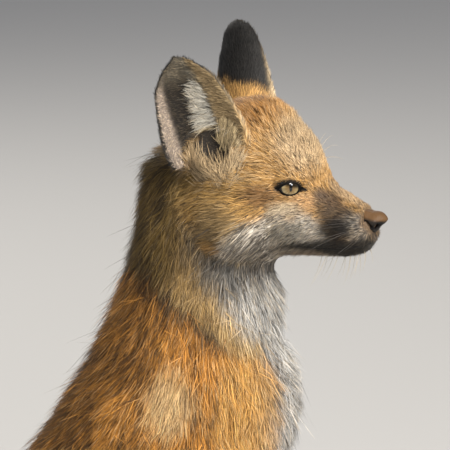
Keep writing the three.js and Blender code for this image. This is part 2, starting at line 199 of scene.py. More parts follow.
TAIL_STROKES = [
    ("tail_base", (1, .85, .8), (-.9, -.2, -.4), 8), ("tail_base", (.5, .75, 1), (-.85, -.5, -.1), 9),
    ("tail_base", (.1, .45, .6), (-.45, -.9, 0), 10), ("tail_base", (.2, 0, .6), (-.1, -1, 0), 10),
    ("tail_middle", (.05, .7, .6), (.05, -1, 0), 10), ("tail_middle", (.2, .2, .6), (.6, -.8, 0), 10),
    ("tail_middle", (.8, .1, .6), (.97, -.25, 0), 10), ("tail_middle", (.6, .9, .6), (.3, -.9, 0), 10),
    ("tail_tip", (.4, .5, .6), (1, -.05, 0), 9), ("tail_tip", (.95, .5, .5), (1, .02, 0), 6),
]


def ramp(value, start, stop):
    t = np.clip((value - start) / (stop - start), 0, 1)
    return t * t * (3 - 2 * t)


def head_place(points):
    """Forward, outward and up from midway between the eyes, and which side (+1 left)."""
    local = (points - brow) @ HEAD_FRAME.T
    hand = np.where(local[:, 1] < 0, -1.0, 1.0)
    local[:, 1] *= hand
    return local, hand


def box_place(name, share, mirrored):
    a, b = (np.array(c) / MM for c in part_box(name))
    place = a + (b - a) * share
    if mirrored and name in ("neck", "trunk"):
        place[1] = b[1] * share[1]
    return place


def comb(points, places, lies, depths, reach):
    """The strokes near each point, blended: the lie of the hair and the depth of the coat."""
    lie = np.zeros_like(points)
    depth = np.zeros(len(points))
    total = np.zeros(len(points))
    for place, way, deep in zip(places, lies, depths):
        near = 1 / (((points - place) ** 2).sum(1) + reach**2) ** 2
        lie += near[:, None] * unit(np.array(way, float))
        depth += near * deep
        total += near
    return unit(lie), depth / total


def relax(values, amount, rounds, links, count):
    """Draws each value towards the mean of its neighbours'."""
    here, there = links
    for _ in range(rounds):
        mean = np.stack([
            np.bincount(here, values[there, k], len(values)) for k in range(values.shape[1])
        ], 1)
        values = values + (mean / count[:, None] - values) * amount[:, None]
    return values


def normals_of(points, quads):
    across = points[quads[:, 2]] - points[quads[:, 0]]
    up = points[quads[:, 3]] - points[quads[:, 1]]
    facing = np.cross(across, up)
    total = np.stack([
        sum(np.bincount(quads[:, i], facing[:, k], len(points)) for i in range(4)) for k in range(3)
    ], 1)
    return unit(total)


BODY_INSET = .78  # how much of the coat's depth the hide is drawn in by, on neck and trunk
EAR_COAT = .8  # mm, the depth of the short coat on the ears
EAR_FOOT = .1  # the share of an ear that is sunk in the fur of the head

# The hide is lifted off the solids' outline by the depth of the coat and eased smooth.
hide = hide.astype(float)
quads = quads[:, ::-1].astype(np.int64)
spot = np.clip(np.rint(hide / VOXEL).astype(int) - corner, 0, np.array(extent) - 1)
region = owner[tuple(spot.T)]


def within(*names):
    return np.isin(region, [REGIONS.index(n) for n in names])


is_ear = within("ear_left", "ear_right")
is_head = within("head", "lower_jaw", "eye_left", "eye_right", "nose")
is_tail = within("tail_base", "tail_middle", "tail_tip")
is_body = ~(is_ear | is_head | is_tail)
is_paw = within("forepaw_left", "forepaw_right", "hindfoot_left", "hindfoot_right")
links = (quads.T.reshape(-1), np.roll(quads, -1, 1).T.reshape(-1))
count = np.bincount(links[0], minlength=len(hide))
soften = np.where(is_ear, .12, np.where(is_head | is_paw, .4, .7))
hide = relax(hide, soften, 14, links, count)
facing = normals_of(hide, quads)

# Each ear has its own measures: how far up it a point is, how far across from the rear edge (-1)
# to the front edge (1), whether it is on the inside of the cup, and which ways the ear is tall
# and wide.
EAR_LEVELS = 12  # heights at which an ear's edges are found
CUP_DEPTH = 6  # mm from the middle of the ear's leaf to the line that its inside faces
EAR_POINT = ((.72, .79, .855, .91, .95), (1, .88, .70, .52, .40))  # how far up, share of its width
TIP_FORWARD, TIP_UP = 3.5, 3.0  # mm that the right ear's tip leans forward, and the left one's rises
ear_up, ear_across, ear_inside = np.zeros(len(hide)), np.zeros(len(hide)), np.zeros(len(hide))
ear_tall, ear_wide = np.zeros_like(hide), np.zeros_like(hide)
ear_lie, moved = np.zeros_like(hide), np.zeros_like(hide)
for name, turn in (("ear_left", 1), ("ear_right", -1)):
    mine = region == REGIONS.index(name)
    solid_points = solid_of(name)[0].astype(float)
    centre = solid_points.mean(0)
    _, _, axes = np.linalg.svd(solid_points - centre, full_matrices=False)
    tall = axes[0] * np.sign(axes[0][2])
    wide = axes[1] * np.sign(axes[1] @ HEAD_FRAME[0])
    opens = axes[2] * np.sign(axes[2] @ leftward * turn)
    rise = (hide - centre) @ tall
    reach = np.ptp((solid_points - centre) @ tall)
    root = ((solid_points - centre) @ tall).min()
    up = (rise[mine] - root) / reach
    level = np.clip((up * EAR_LEVELS).astype(int), 0, EAR_LEVELS - 1)
    heights, rear, front, deep_in = [], [], [], []
    spread = (hide[mine] - centre) @ wide
    cup = (hide[mine] - centre) @ opens
    for k in range(EAR_LEVELS):
        ring = level == k
        if not ring.any():
            continue
        heights.append((k + .5) / EAR_LEVELS)
        rear.append(spread[ring].min())
        front.append(spread[ring].max())
        deep_in.append(cup[ring].mean() + CUP_DEPTH)
    a, b = np.interp(up, heights, rear), np.interp(up, heights, front)
    across = np.clip((spread - (a + b) / 2) / np.maximum((b - a) / 2, 1), -1, 1)
    core = centre + rise[mine][:, None] * tall + ((a + b) / 2)[:, None] * wide
    core += np.interp(up, heights, deep_in)[:, None] * opens
    ear_inside[mine] = ((core - hide[mine]) * facing[mine]).sum(1) > 0
    ear_up[mine], ear_across[mine] = up, across
    ear_tall[mine], ear_wide[mine] = tall, wide
    if turn < 0:  # the right ear comes in to a round tip
        slim = 1 - np.interp(up, *EAR_POINT)
        moved[mine] = wide * (TIP_FORWARD * ramp(up, .8, .95) - across * (b - a) / 2 * slim)[:, None]
    else:  # the left one stands a little taller, and its front edge lies further back low down
        set_back = 3.0 * ramp(up, .8, .45) + 2.5 * ramp(across, 0, 1) * ramp(up, .6, .3)
        moved[mine] = tall * (TIP_UP * ramp(up, .5, .95))[:, None]
        moved[mine] -= wide * (ramp(up, 0, .2) * set_back)[:, None]
    inner = ear_inside > .5
    sweep = np.where(inner, -1.0, ear_across * .35)[:, None] * wide
    ear_lie[mine] = (sweep + np.where(inner, (ear_up - .35) * 1.6, 1.0)[:, None] * tall)[mine]

ear_foot = is_ear & (ear_up < EAR_FOOT)
hide = relax(hide, is_ear * .8 * np.clip((.15 - ear_up) / .1, 0, 1), 30, links, count)
facing = normals_of(hide, quads)
is_ear, is_head = is_ear & ~ear_foot, is_head | ear_foot

PIT_TOP, PIT_TOP_SIZE = (-38, 48, 38), (15, 20, 20)  # the upper end of the ear's opening
NOSE_REAR = ((-8, -7, -4.7, 0, 6), (2, 0, -2.7, -7, -6.7))  # the leather's edge: up, forward
NOSE_SOCKET = 4.2  # mm that the end of the muzzle is sunk under the nose pad

place, hand = head_place(hide)
lie = ear_lie.copy()
depth = np.full(len(hide), EAR_COAT)
lie_head, deep = comb(place, *zip(*HEAD_STROKES), 6)
lie_head[:, 1] *= hand
lie[is_head], depth[is_head] = (lie_head @ HEAD_FRAME)[is_head], deep[is_head]
side = np.where(hide[:, 1] < 0, -1.0, 1.0)
folded = hide.copy()
folded[:, 1] *= side
lie_body, deep = comb(
    folded, [box_place(n, p, True) for n, p, _, _ in BODY_STROKES], *list(zip(*BODY_STROKES))[2:], 10
)
lie_body[:, 1] *= side
lie[is_body], depth[is_body] = lie_body[is_body], deep[is_body]
lie_tail, deep = comb(
    hide, [box_place(n, p, False) for n, p, _, _ in TAIL_STROKES], *list(zip(*TAIL_STROKES))[2:], 10
)
lie[is_tail], depth[is_tail] = lie_tail[is_tail], deep[is_tail]

groom = relax(np.column_stack([lie, depth]), np.full(len(hide), .7), 25, links, count)
lie[~is_ear] = groom[~is_ear, :3]
depth = np.where(is_ear, np.minimum(groom[:, 3], 1.2), groom[:, 3])
off_floor = np.clip((hide[:, 2] - 2) / 14, 0, 1)  # the coat is pressed flat against the ground
depth = depth * (.25 + .75 * off_floor)
nose_middle = middle("nose")
pit = np.linalg.norm((place - EAR_MOUTH) / EAR_MOUTH_SIZE, axis=1)
above_pit = np.linalg.norm((place - PIT_TOP) / PIT_TOP_SIZE, axis=1)
ear_pit = is_head * np.maximum(ramp(pit, 1.18, 1.06), ramp(above_pit, 1.2, 1.05))
depth = depth * (1 - .75 * ear_pit)
from_nose = (hide - nose_middle) @ HEAD_FRAME.T
rear_edge = np.interp(from_nose[:, 2], *NOSE_REAR)
nose_end = is_head * ramp(from_nose[:, 0] - rear_edge, -1.2, 1.2) * (place[:, 0] > 25)
socket = NOSE_SOCKET * nose_end
bulk = np.where(is_body, BODY_INSET, 1.0)

# The lids are part of the hide, so each eye's opening is set out here.
EYE_LOOKS = (.54, .84, .03)  # forward, outward, up
LID_LONG, LID_UPPER, LID_LOWER, LID_TILT = 6.0, 3.7, 2.6, 5  # the opening's half sizes, mm and degrees
OPENING_AT = (.1, -1.3)  # the opening's middle, from the eye's, towards the nose and up
RIM_UPPER, RIM_LOWER = .9, .5  # mm of bare black edge
WEDGE = (4.5, 12.4, 2.3)  # the black corner towards the nose: where it starts and ends, half height
TEAR_LINE = .35  # mm, half height of the fine black line behind the other corner
LID_BED, EDGE_BED = .9, .6  # mm that the hide stands off the ball: at first, and once it is eased
LID_SINK = 1.5  # mm that it is drawn in behind the ball in the opening
a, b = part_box("eye_left")
EYE_RADIUS = (b[2] - a[2]) / 2 / MM


def eye_axes(hand):
    looks = unit(np.array((EYE_LOOKS[0], EYE_LOOKS[1] * hand, EYE_LOOKS[2]))) @ HEAD_FRAME
    along = unit(np.cross((0, 0, 1), looks)) * -hand  # towards the nose
    along = along * np.sign(along @ HEAD_FRAME[0])
    rise = unit(np.cross(looks, along) if np.cross(looks, along)[2] > 0 else np.cross(along, looks))
    return looks, along, rise


def lid_place(points, centre, axes):
    """Along the opening towards the nose, up from its middle line, and in front of the eye's middle."""
    looks, along, rise = axes
    arm = points - centre
    w, h = arm @ along - OPENING_AT[0], arm @ rise - OPENING_AT[1]
    tilt = math.radians(LID_TILT)
    return w * math.cos(tilt) - h * math.sin(tilt), h * math.cos(tilt) + w * math.sin(tilt), arm @ looks


def rim_share(w, h):
    """1 on the bare black edge round an eye and its corner wedge, 0 on the furred lid."""
    lens = np.clip(1 - (w / (LID_LONG + 2.2)) ** 2, 0, 1)
    edge = np.where(h > 0, (LID_UPPER + RIM_UPPER) * lens, (LID_LOWER + RIM_LOWER) * lens)
    wedge = WEDGE[2] * np.clip((WEDGE[1] - w) / (WEDGE[1] - WEDGE[0]), 0, 1) * (w > WEDGE[0] - 2)
    tail = TEAR_LINE * np.clip((w + 9.5) / 3, 0, 1) * (w < -WEDGE[0])
    return ramp(np.abs(h) - np.maximum(np.maximum(edge, wedge), tail), .35, -.25)


def swell(points, at, sizes):
    """1 at a place, falling off softly round it."""
    return np.exp(-(((points - at) / sizes) ** 2).sum(1))


# Fine shaping, in mm: a full haunch, throat and forehead, a low stop and bridge, and lips that are
# set back under the nose.
haunch = 5 * swell(hide, (8, 0, 165), (26, 60, 40))
throat = 4 * swell(hide, (141, 0, 262), (16, 30, 20))
forehead = 3.2 * swell(place, (13, 0, 21), (12, 22, 11)) * is_head
stop = 1.6 * swell(place, (24, 0, 2), (9, 10, 9)) * is_head
saddle = 2.4 * swell(from_nose, (-10, 0, 8), (8, 9, 7)) * is_head
lip_level = np.exp(-(((place[:, 2] + 33.5) / 5.5) ** 2))
receding = 5 * lip_level * np.clip((place[:, 0] - 42) / 10, 0, 1) * is_head
moved = moved + facing * (haunch + throat + forehead - stop - saddle)[:, None]
moved = moved - receding[:, None] * HEAD_FRAME[0]
moved = relax(moved, is_ear * .4, 6, links, count)
hide = hide + moved - facing * (depth * bulk + socket)[:, None]
place = head_place(hide)[0]
shorter = .3 * np.maximum(place[:, 0] - 43, 0) * np.clip((-16 - place[:, 2]) / 7, 0, 1) * is_head
hide = hide - shorter[:, None] * HEAD_FRAME[0]  # the upper lip runs back under the nose
bare_rim = np.zeros(len(hide))


def lay_lids(margin, sink):
    """The lids' skin laid over each ball, and sunk behind it in the opening."""
    for hand, centre in ((1, eye_left), (-1, eye_right)):
        w, h, front = lid_place(hide, centre, eye_axes(hand))
        far = np.linalg.norm(hide - centre, axis=1)
        faces_out = (front > 0) & (far < EYE_RADIUS + 5)
        inside = (np.hypot(w / LID_LONG, h / LID_UPPER) < 1) & faces_out
        lifted = np.maximum(EYE_RADIUS + margin - far, 0) * faces_out * ~inside - sink * inside
        hide[:] = hide + unit(hide - centre) * lifted[:, None]
        bare_rim[:] = np.maximum(bare_rim, rim_share(w, h) * faces_out)


lay_lids(LID_BED, LID_SINK)
hide[:, 2] = np.maximum(hide[:, 2], .3)
hide = relax(hide, soften * .5, 5, links, count)
lay_lids(EDGE_BED, 0)
facing = normals_of(hide, quads)
lie = unit(lie - facing * (lie * facing).sum(1)[:, None])

# Markings, painted in order. Each patch has its middle, half sizes, colour and strength. Skin and
# hair share them.
GOLD, ORANGE, OLIVE = (.45, .245, .075), (.55, .235, .042), (.34, .20, .06)
CREAM, GREY, WHITE = (.56, .42, .25), (.40, .37, .32), (.40, .385, .36)
SOOT, BLACK = (.045, .034, .026), (.010, .009, .008)
# The nape's colour is its dark brown with painted shade in it, where the head shades the back of the neck.
NAPE_BROWN_AND_SHADE, BACK, FAWN, TAN = (.17, .105, .028), (.48, .21, .038), (.63, .42, .20), (.42, .265, .10)
# The throat's colour is the jaw's shadow, painted on.
BRUSH, THROAT_SHADOW = (.26, .15, .06), (.13, .12, .105)
HEAD_PATCHES = [
    ((-32, 12, 44), (30, 28, 22), (.35, .15, .030), .85), ((4, 8, 22), (20, 20, 18), (.38, .27, .155), .85),
    ((-34, 42, -4), (26, 20, 20), OLIVE, .6), ((-48, 38, -12), (22, 22, 24), OLIVE, .9),
    # The patch of (.16, .11, .05) low on the cheek is painted shade between the cheek's ruff and the neck;
    # the nape patch is the nape's brown with painted shade.
    ((-30, 42, -24), (14, 15, 10), (.16, .11, .05), .85), ((-62, 20, 10), (22, 30, 30), NAPE_BROWN_AND_SHADE, .8),
    ((34, 0, -6), (28, 9, 10), (.36, .24, .13), .9), ((10, 22, -8), (11, 8, 6), (.56, .32, .14), .8),
    # The patch of (.19, .095, .035) behind the eye is dark hair streaks with painted shade over them.
    ((0, 28, -12), (12, 9, 5), (.60, .48, .33), .85), ((-13, 30, -4), (14, 11, 7), (.19, .095, .035), .85),
    ((-52, 40, -33), (12, 22, 10), (.22, .165, .10), .85),
    # The patch of (.17, .11, .045) low on the cheek is painted shade between the cheek's ruff and the neck.
    ((-34, 43, -14), (11, 12, 8), (.17, .11, .045), .75), ((17, 15, -4), (4, 4, 3), SOOT, .7),
    ((13, 13, 8), (3.5, 5, 9), (.26, .15, .06), .5),
]
MUZZLE_PATCHES = [
    ((21, 15, -10), (8, 7, 7), (.11, .07, .042), .75), ((30, 15, -17), (13, 9, 8), (.085, .062, .045), .8),
    ((41, 12, -23), (16, 12, 9), (.25, .23, .20), .9), ((27, 17, -24), (10, 10, 7), BLACK, .95),
    # The patch of (.15, .10, .062) on the underside of the jaw is painted shade.
    ((8, 10, -41), (16, 14, 6), (.15, .10, .062), .8), ((26, 13, -6), (12, 7, 6), (.10, .06, .035), .8),
    ((2, 28, -25), (12, 12, 7), (.25, .23, .185), .7), ((50, 8, -14), (8, 9, 6), (.17, .115, .075), .7),
    ((51, 0, -22), (9, 12, 9), (.12, .085, .06), .75),
]
# Lines between colours, each as the places along it and the line's own places there, in mm.
MOUTH_DARK = ((-4, 4, 14, 24, 34, 44, 52), (-33, -31, -31, -29, -30, -29, -27),  # forward, top, foot
              (-34, -35, -36.5, -40, -44, -46, -44))
WHITE_JAW = ((-60, -45, -34, -22, -9, 2, 12, 19, 24, 60), (-56, -48, -35, -21, -13, -13, -15, -19, -28, -31))
WHITE_FRONT = ((0, 60, 100, 140, 165, 190, 214, 231, 244, 261, 276, 290, 320),
               (76, 84, 102, 128, 141, 146, 147, 138, 125, 118, 111, 107, 102))
SHOULDER_LINE = ((75, 84, 100, 114, 132), (272, 262, 249, 236, 226))
# The nape's line runs forward behind the cheek, to carry the painted shade there.
NAPE_AND_SHADE_LINE = ((190, 262, 330), (62, 90, 102))
BACK_LINE = ((0, 120, 190, 240), (20, 40, 84, 98))


def all_over(tint, count):
    return np.tile(np.array(tint), (count, 1))


def paint(colour, amount, tint):
    return colour + (np.array(tint) - colour) * amount[:, None]


def layered(colour, layers):
    """A colour with layers painted over it in order, each an amount and a tint."""
    for amount, tint in layers:
        colour = paint(colour, amount, tint)
    return colour


def patched(colour, patches, roughness, edge, core):
    """A colour with the patches painted over it, from nothing at edge to full strength at core."""
    for middle_of, sizes, tint, strength in patches:
        far = np.sqrt((((place - middle_of) / sizes) ** 2).sum(1)) + ragged * roughness
        colour = paint(colour, strength * ramp(far, edge, core), tint)
    return colour


def near_to(part, rounds):
    """1 on a part of the hide, falling off softly beside it."""
    return relax(part[:, None] * 1.0, np.full(len(hide), .7), rounds, links, count)[:, 0]


def waver(points, size, seed, octaves=3):
    """Soft random waves over space, from -1 to 1, about `size` mm apart."""
    draw = np.random.default_rng(seed)
    total = np.zeros(len(points))
    for k in range(octaves):
        for _ in range(4):
            way = unit(draw.normal(size=3)) * (2 * math.pi / size) * 1.9**k
            total += np.sin(points @ way + draw.uniform(0, 6.28)) / 1.7**k
    return total / 4.5


tips = hide + facing * depth[:, None] * .6 + lie * depth[:, None] * 1.1  # where the hair ends
pepper = np.full(len(hide), .12)  # share of dark hairs
salt = np.full(len(hide), .15)  # share of pale-tipped hairs
place = head_place(tips)[0]
ragged = waver(hide, 16, 5) * 2.5
colour = patched(all_over(GOLD, len(hide)), HEAD_PATCHES, .04, 1.25, .55)
jaw_line = np.interp(place[:, 0], *WHITE_JAW)
colour = paint(colour, .9 * ramp(place[:, 2] + ragged - jaw_line, 3, -5), GREY)
colour = patched(colour, MUZZLE_PATCHES, .05, 1.2, .6)
mouth_top, mouth_low = (np.interp(place[:, 0], MOUTH_DARK[0], MOUTH_DARK[k]) for k in (1, 2))
mouth = ramp(mouth_top - place[:, 2] + ragged * .3, -1.5, 1)
mouth = mouth * ramp(place[:, 2] - mouth_low + ragged * .3, -1.5, 1)
colour = paint(colour, mouth * .95 * ramp(place[:, 0], -6, 2), BLACK)
jaw_white = ramp(place[:, 2] + ragged - jaw_line, 3, -5) * ramp(place[:, 0], 8, -2)
salt = np.where(place[:, 2] > 5, .45, .2) + jaw_white * .15
whisker_bed = ramp(place[:, 0], 20, 30) * ramp(place[:, 2], -8, -14)
pepper = pepper + jaw_white * .25 + whisker_bed * .35
salt = salt * (1 - .6 * whisker_bed) + whisker_bed * .4 * ramp(place[:, 0], 30, 38)

x, y, z = tips[:, 0], np.abs(tips[:, 1]), tips[:, 2]
back = (facing * unit(np.array((-.88, 0, .48)))).sum(1)
above_shoulder = z - np.interp(x, *SHOULDER_LINE)
golden = np.sqrt(((x - 130) / 20) ** 2 + ((z - 196) / 42) ** 2) + ragged * .05
fawn = np.sqrt(((x - 88) / 15) ** 2 + ((z - 203) / 20) ** 2) + ragged * .06
seam = np.abs(above_shoulder + ragged * .7)
thigh = within("hindleg_left", "hindleg_right", "hindfoot_left", "hindfoot_right")
pale = x + ragged * 1.4 - np.interp(z, *WHITE_FRONT)
belly = within("trunk") & (facing[:, 2] < -.2) & (z < 150)
stocking = within("foreleg_left", "foreleg_right", "forepaw_left", "forepaw_right")
hock = within("hindfoot_left", "hindfoot_right") | (within("hindleg_left", "hindleg_right") & (z < 30))
colour_body = layered(all_over(ORANGE, len(hide)), [
    (ramp(above_shoulder + ragged, -3, 4), TAN),
    # Painted shade from the head, darkening the upper neck.
    (ramp(z + ragged, 258, 290) * .75, (.12, .075, .028)),
    # The nape's dark brown, with painted shade carried forward behind the cheek.
    (.95 * ramp(x + ragged - np.interp(z, *NAPE_AND_SHADE_LINE), 6, -14), NAPE_BROWN_AND_SHADE),
    (.8 * ramp(golden, 1.2, .5) * (above_shoulder < 4), (.68, .36, .10)),
    ((above_shoulder < 0) * ramp(x + ragged - np.interp(z, *BACK_LINE), 10, -26), BACK),
    (.85 * ramp(fawn, 1.3, .5) * ramp(y, 20, 34), FAWN),
    # The line along the shoulder is the dark hairs of the shoulder cross, with painted shade in the fold.
    (.8 * ramp(seam, 6, 1.5) * ramp(x, 74, 84) * ramp(x, 128, 114) * (y > 20), SOOT),
    (ramp(pale, -12, 0) * .4, CREAM),
    (ramp(pale, -3, 8) * ~thigh, WHITE),
    # Painted shadow under the jaw: a dark band at the top of the throat, darkest at its front.
    (ramp(z + ragged, 256, 272) * ramp(pale, -14, -2) * .9, THROAT_SHADOW),
    (ramp(z + ragged, 264, 276) * ramp(x + ragged, 120, 132) * .7, SOOT),
    (belly * .8, CREAM),
    (stocking * ramp(z + ragged * 2 + (x - 120) * .4, 118, 70), SOOT),
    (hock * .85, SOOT),
])
shoulder = ramp(x, 118, 96) * (above_shoulder < 3) * ramp(fawn, .6, 1.3)
pepper_body = .12 + .3 * ramp(back, .1, .8) + .2 * shoulder
colour[is_body], pepper[is_body], salt[is_body] = colour_body[is_body], pepper_body[is_body], .2

tail_white = within("tail_tip") * ramp(x + ragged * 1.5, -22, -8)
colour[is_tail] = paint(all_over(BRUSH, len(hide)), tail_white, WHITE)[is_tail]
pepper[is_tail] = (.4 * (1 - tail_white))[is_tail]

REAR_STRIP, SHADED_HOLLOW, FRONT_BAND = (.38, .305, .245), (.014, .010, .006), (.44, .31, .155)
ear_back = layered(all_over(np.array(BLACK) * 1.6, len(hide)), [
    (ramp(ear_up + ragged * .012 + ear_across * .07, .57, .50), (.50, .28, .09)),
    (ramp(ear_across, -.78, -.9) * ramp(ear_up, .1, .2), BLACK),
])
ear_cup = layered(all_over(REAR_STRIP, len(hide)), [
    # Painted shade in the deep of the cup.
    (ramp(ear_across + ear_up * .25, -.55, -.35), SHADED_HOLLOW),
    (ramp(ear_up + ragged * .01, .66, .82), (.12, .10, .07)),
    (ramp(ear_across + ragged * .02, .12, .30), (.16, .14, .105)),
    (ramp(ear_across + ragged * .02, .36, .56), FRONT_BAND),
    (ramp(ear_across, -.86, -.95) * (ear_up > .15), BLACK),
])
ear_colour = np.where(ear_inside[:, None] > .5, ear_cup, ear_back)
ear_colour = paint(ear_colour, (ear_inside < .5) * ramp(ear_across, .90, .97), CREAM)
colour[is_ear] = ear_colour[is_ear]
pepper[is_ear], salt[is_ear] = .05, (.3 * (ear_inside > .5))[is_ear]
colour = np.clip(relax(colour, np.where(is_ear, .3, .5), 2, links, count), 0, 1)
near_head, near_body = near_to(is_head | is_ear, 20), near_to(is_body, 26)
near_nose, near_rim = near_to(nose_end, 14), near_to(bare_rim, 8)
colour = layered(colour, [
    # Painted shade in the ear's opening.
    (ear_pit, (.022, .015, .009)),
    (bare_rim, (.008, .007, .006)),
    (nose_end * .9, (.05, .034, .022)),
    # Painted shade where head and neck meet: on the neck behind the white front, and on the rear of the head
    # next to the neck.
    (is_body * near_head * .8 * ramp(pale, -4, -16), (.17, .105, .036)),
    (is_head * ramp(near_body, .02, .3) * .75 * (place[:, 0] < -20), (.24, .155, .055)),
    (is_head * ramp(near_nose, .02, .4) * .7, (.24, .15, .08)),
])
streaks = waver(hide * (1, 1, .4), 9, 41) * .16 + waver(hide * (1, 1, .6), 32, 43) * .14
fluff = waver(hide, 7, 45) * .14 + waver(hide, 20, 47) * .10
mottle = np.where(is_body | is_tail, streaks, np.where(is_head & (place[:, 0] < 10), fluff, fluff * .5))
colour = colour * (1 + mottle)[:, None]
pepper = pepper * np.clip(1 - mottle * 4, .2, 2.2)


def set_out(name, mesh):
    piece = bpy.data.objects.new(name, mesh)
    bpy.context.scene.collection.objects.link(piece)
    return piece


def dye_points(mesh, shades):
    """The colour of each point, kept on the mesh itself."""
    tint = mesh.color_attributes.new("coat", "FLOAT_COLOR", "POINT")
    rows = np.column_stack([shades, np.ones(len(shades))])
    tint.data.foreach_set("color", rows.astype(np.float32).ravel())


def finish_for(name, roughness, clear, specular):
    """A material that takes its colour from the dye on a mesh's points."""
    made = bpy.data.materials.new(name)
    made.use_nodes = True
    shader = made.node_tree.nodes["Principled BSDF"]
    shader.inputs["Roughness"].default_value = roughness
    shader.inputs["Coat Weight"].default_value = clear
    shader.inputs["Coat Roughness"].default_value = .03
    shader.inputs["Specular IOR Level"].default_value = specular
    dye = made.node_tree.nodes.new("ShaderNodeAttribute")
    dye.attribute_name = "coat"
    made.node_tree.links.new(dye.outputs["Color"], shader.inputs["Base Color"])
    return made


SKIN_PAINTED_SHADE = .5  # painted shade: the skin is painted darker than the hair that grows from it, as the coat shades it
SKIN_SHARE = .34  # share of its facets kept, as the coat covers it
mesh = bpy.data.meshes.new("skin")
mesh.from_pydata((hide * MM).tolist(), [], quads.tolist())
mesh.shade_smooth()
# The skin takes the hair's markings with painted shade over them.
dye_points(mesh, colour * SKIN_PAINTED_SHADE)
skin = set_out("skin", mesh)
leathery = finish_for("hide", .7, 0, .25)
grain = leathery.node_tree.nodes.new("ShaderNodeTexNoise")
grain.inputs["Scale"].default_value = 900
grain.inputs["Detail"].default_value = 4
where = leathery.node_tree.nodes.new("ShaderNodeTexCoord")
bump = leathery.node_tree.nodes.new("ShaderNodeBump")
bump.inputs["Strength"].default_value = .4
bump.inputs["Distance"].default_value = .0003
wires = leathery.node_tree.links
wires.new(where.outputs["Object"], grain.inputs["Vector"])
wires.new(grain.outputs["Fac"], bump.inputs["Height"])
wires.new(bump.outputs["Normal"], leathery.node_tree.nodes["Principled BSDF"].inputs["Normal"])
skin.data.materials.append(leathery)
thin_out = skin.modifiers.new("thin_out", "DECIMATE")
thin_out.ratio = SKIN_SHARE
lighter = bpy.data.meshes.new_from_object(skin.evaluated_get(bpy.context.evaluated_depsgraph_get()))
skin.modifiers.clear()
skin.data = lighter
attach(skin, "root")
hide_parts(*[n for n in REGIONS if "eye" not in n and "nose" not in n])

# ---------------------------------------------------------------- coat of the head
# Short flat hair on face and cheeks, and a woolly ruff under the ears. It grows from the hide in
# tufts: each is a thin closed lock with its root in the skin and its tip at the outside of the
# coat. Tufts lean together in small clumps, with dark and pale-tipped guard hairs among them.
def quad_share(values):
    return values[quads].mean(1)


HIDE_AREA = np.linalg.norm(
    np.cross(hide[quads[:, 2]] - hide[quads[:, 0]], hide[quads[:, 3]] - hide[quads[:, 1]]), axis=1
) / 2
NORMAL_BLEND = .72  # how far a tuft is shaded as the body's form rather than as its own
PATCH = .003  # a tuft's size on the coat's unwrap
STRAYS = .06  # share of hairs that stand a little out of the coat
KNEE = .36  # how far along a tuft it bends over
FROST = .55  # how pale the pale tips are
OUTSIDE = .8  # mm that hair tips may stand past the solids' outline
STRAY_OUT = 2.0  # mm more that those that stand out may
STRAY_RISE = 12  # degrees more that they stand up
OFF_FLOOR = .35  # mm that hair keeps off the ground
GUARD_LONG = 1.12  # how much longer a dark guard hair is than the rest
ROOT_PAINTED_SHADE = .45  # painted shade: how dark a tuft is painted at its root, deep in the coat


def scatter(density, total, draw):
    """Roots spread evenly over the hide by density, as a quad and a place in it."""
    weight = HIDE_AREA * np.maximum(quad_share(density), 0)
    heap = np.cumsum(weight)
    ticks = (np.arange(total) + draw.uniform(0, 1, total)) / total * heap[-1]
    return np.searchsorted(heap, ticks).clip(0, len(quads) - 1), draw.uniform(0, 1, (total, 2))


def at_roots(values, cell, spot):
    a, b = spot[:, :1], spot[:, 1:]
    q = quads[cell]
    if values.ndim == 1:
        values = values[:, None]
    return (
        values[q[:, 0]] * (1 - a) * (1 - b) + values[q[:, 1]] * a * (1 - b)
        + values[q[:, 2]] * a * b + values[q[:, 3]] * (1 - a) * b
    )


def level_at(points):
    """How far outside the solids' melted outline each point is, in mm."""
    spot = points / VOXEL - corner
    base = np.clip(np.floor(spot).astype(int), 0, np.array(extent) - 2)
    t = np.clip(spot - base, 0, 1)
    total = np.zeros(len(points))
    for i in (0, 1):
        for j in (0, 1):
            for k in (0, 1):
                share = np.abs(1 - i - t[:, 0]) * np.abs(1 - j - t[:, 1]) * np.abs(1 - k - t[:, 2])
                total += share * body[base[:, 0] + i, base[:, 1] + j, base[:, 2] + k]
    return total


def tuck(points, margin):
    """Hair tips that stand out past the coat's outline are laid back on it."""
    over = np.maximum(level_at(points) - margin, 0)
    steps = np.eye(3) * VOXEL
    slope = np.stack([level_at(points + step) - level_at(points - step) for step in steps], 1)
    return points - unit(slope) * (over * .9)[:, None]


def coat_mesh(name, points, corners, shades, soft_normals, flat):
    mesh = bpy.data.meshes.new(name)
    mesh.vertices.add(len(points))
    mesh.vertices.foreach_set("co", (points * MM).astype(np.float32).ravel())
    mesh.loops.add(corners.size)
    mesh.loops.foreach_set("vertex_index", corners.astype(np.int32).ravel())
    mesh.polygons.add(len(corners))
    mesh.polygons.foreach_set("loop_start", np.arange(0, corners.size, 3, dtype=np.int32))
    mesh.polygons.foreach_set("loop_total", np.full(len(corners), 3, np.int32))
    mesh.update(calc_edges=True)
    dye_points(mesh, shades)
    sheet = mesh.uv_layers.new(name="OFBake")
    sheet.data.foreach_set("uv", flat[corners.ravel()].astype(np.float32).ravel())
    mesh.shade_smooth()
    mesh.normals_split_custom_set_from_vertices(soft_normals.tolist())
    mesh.materials.append(fur)
    return set_out(name, mesh)


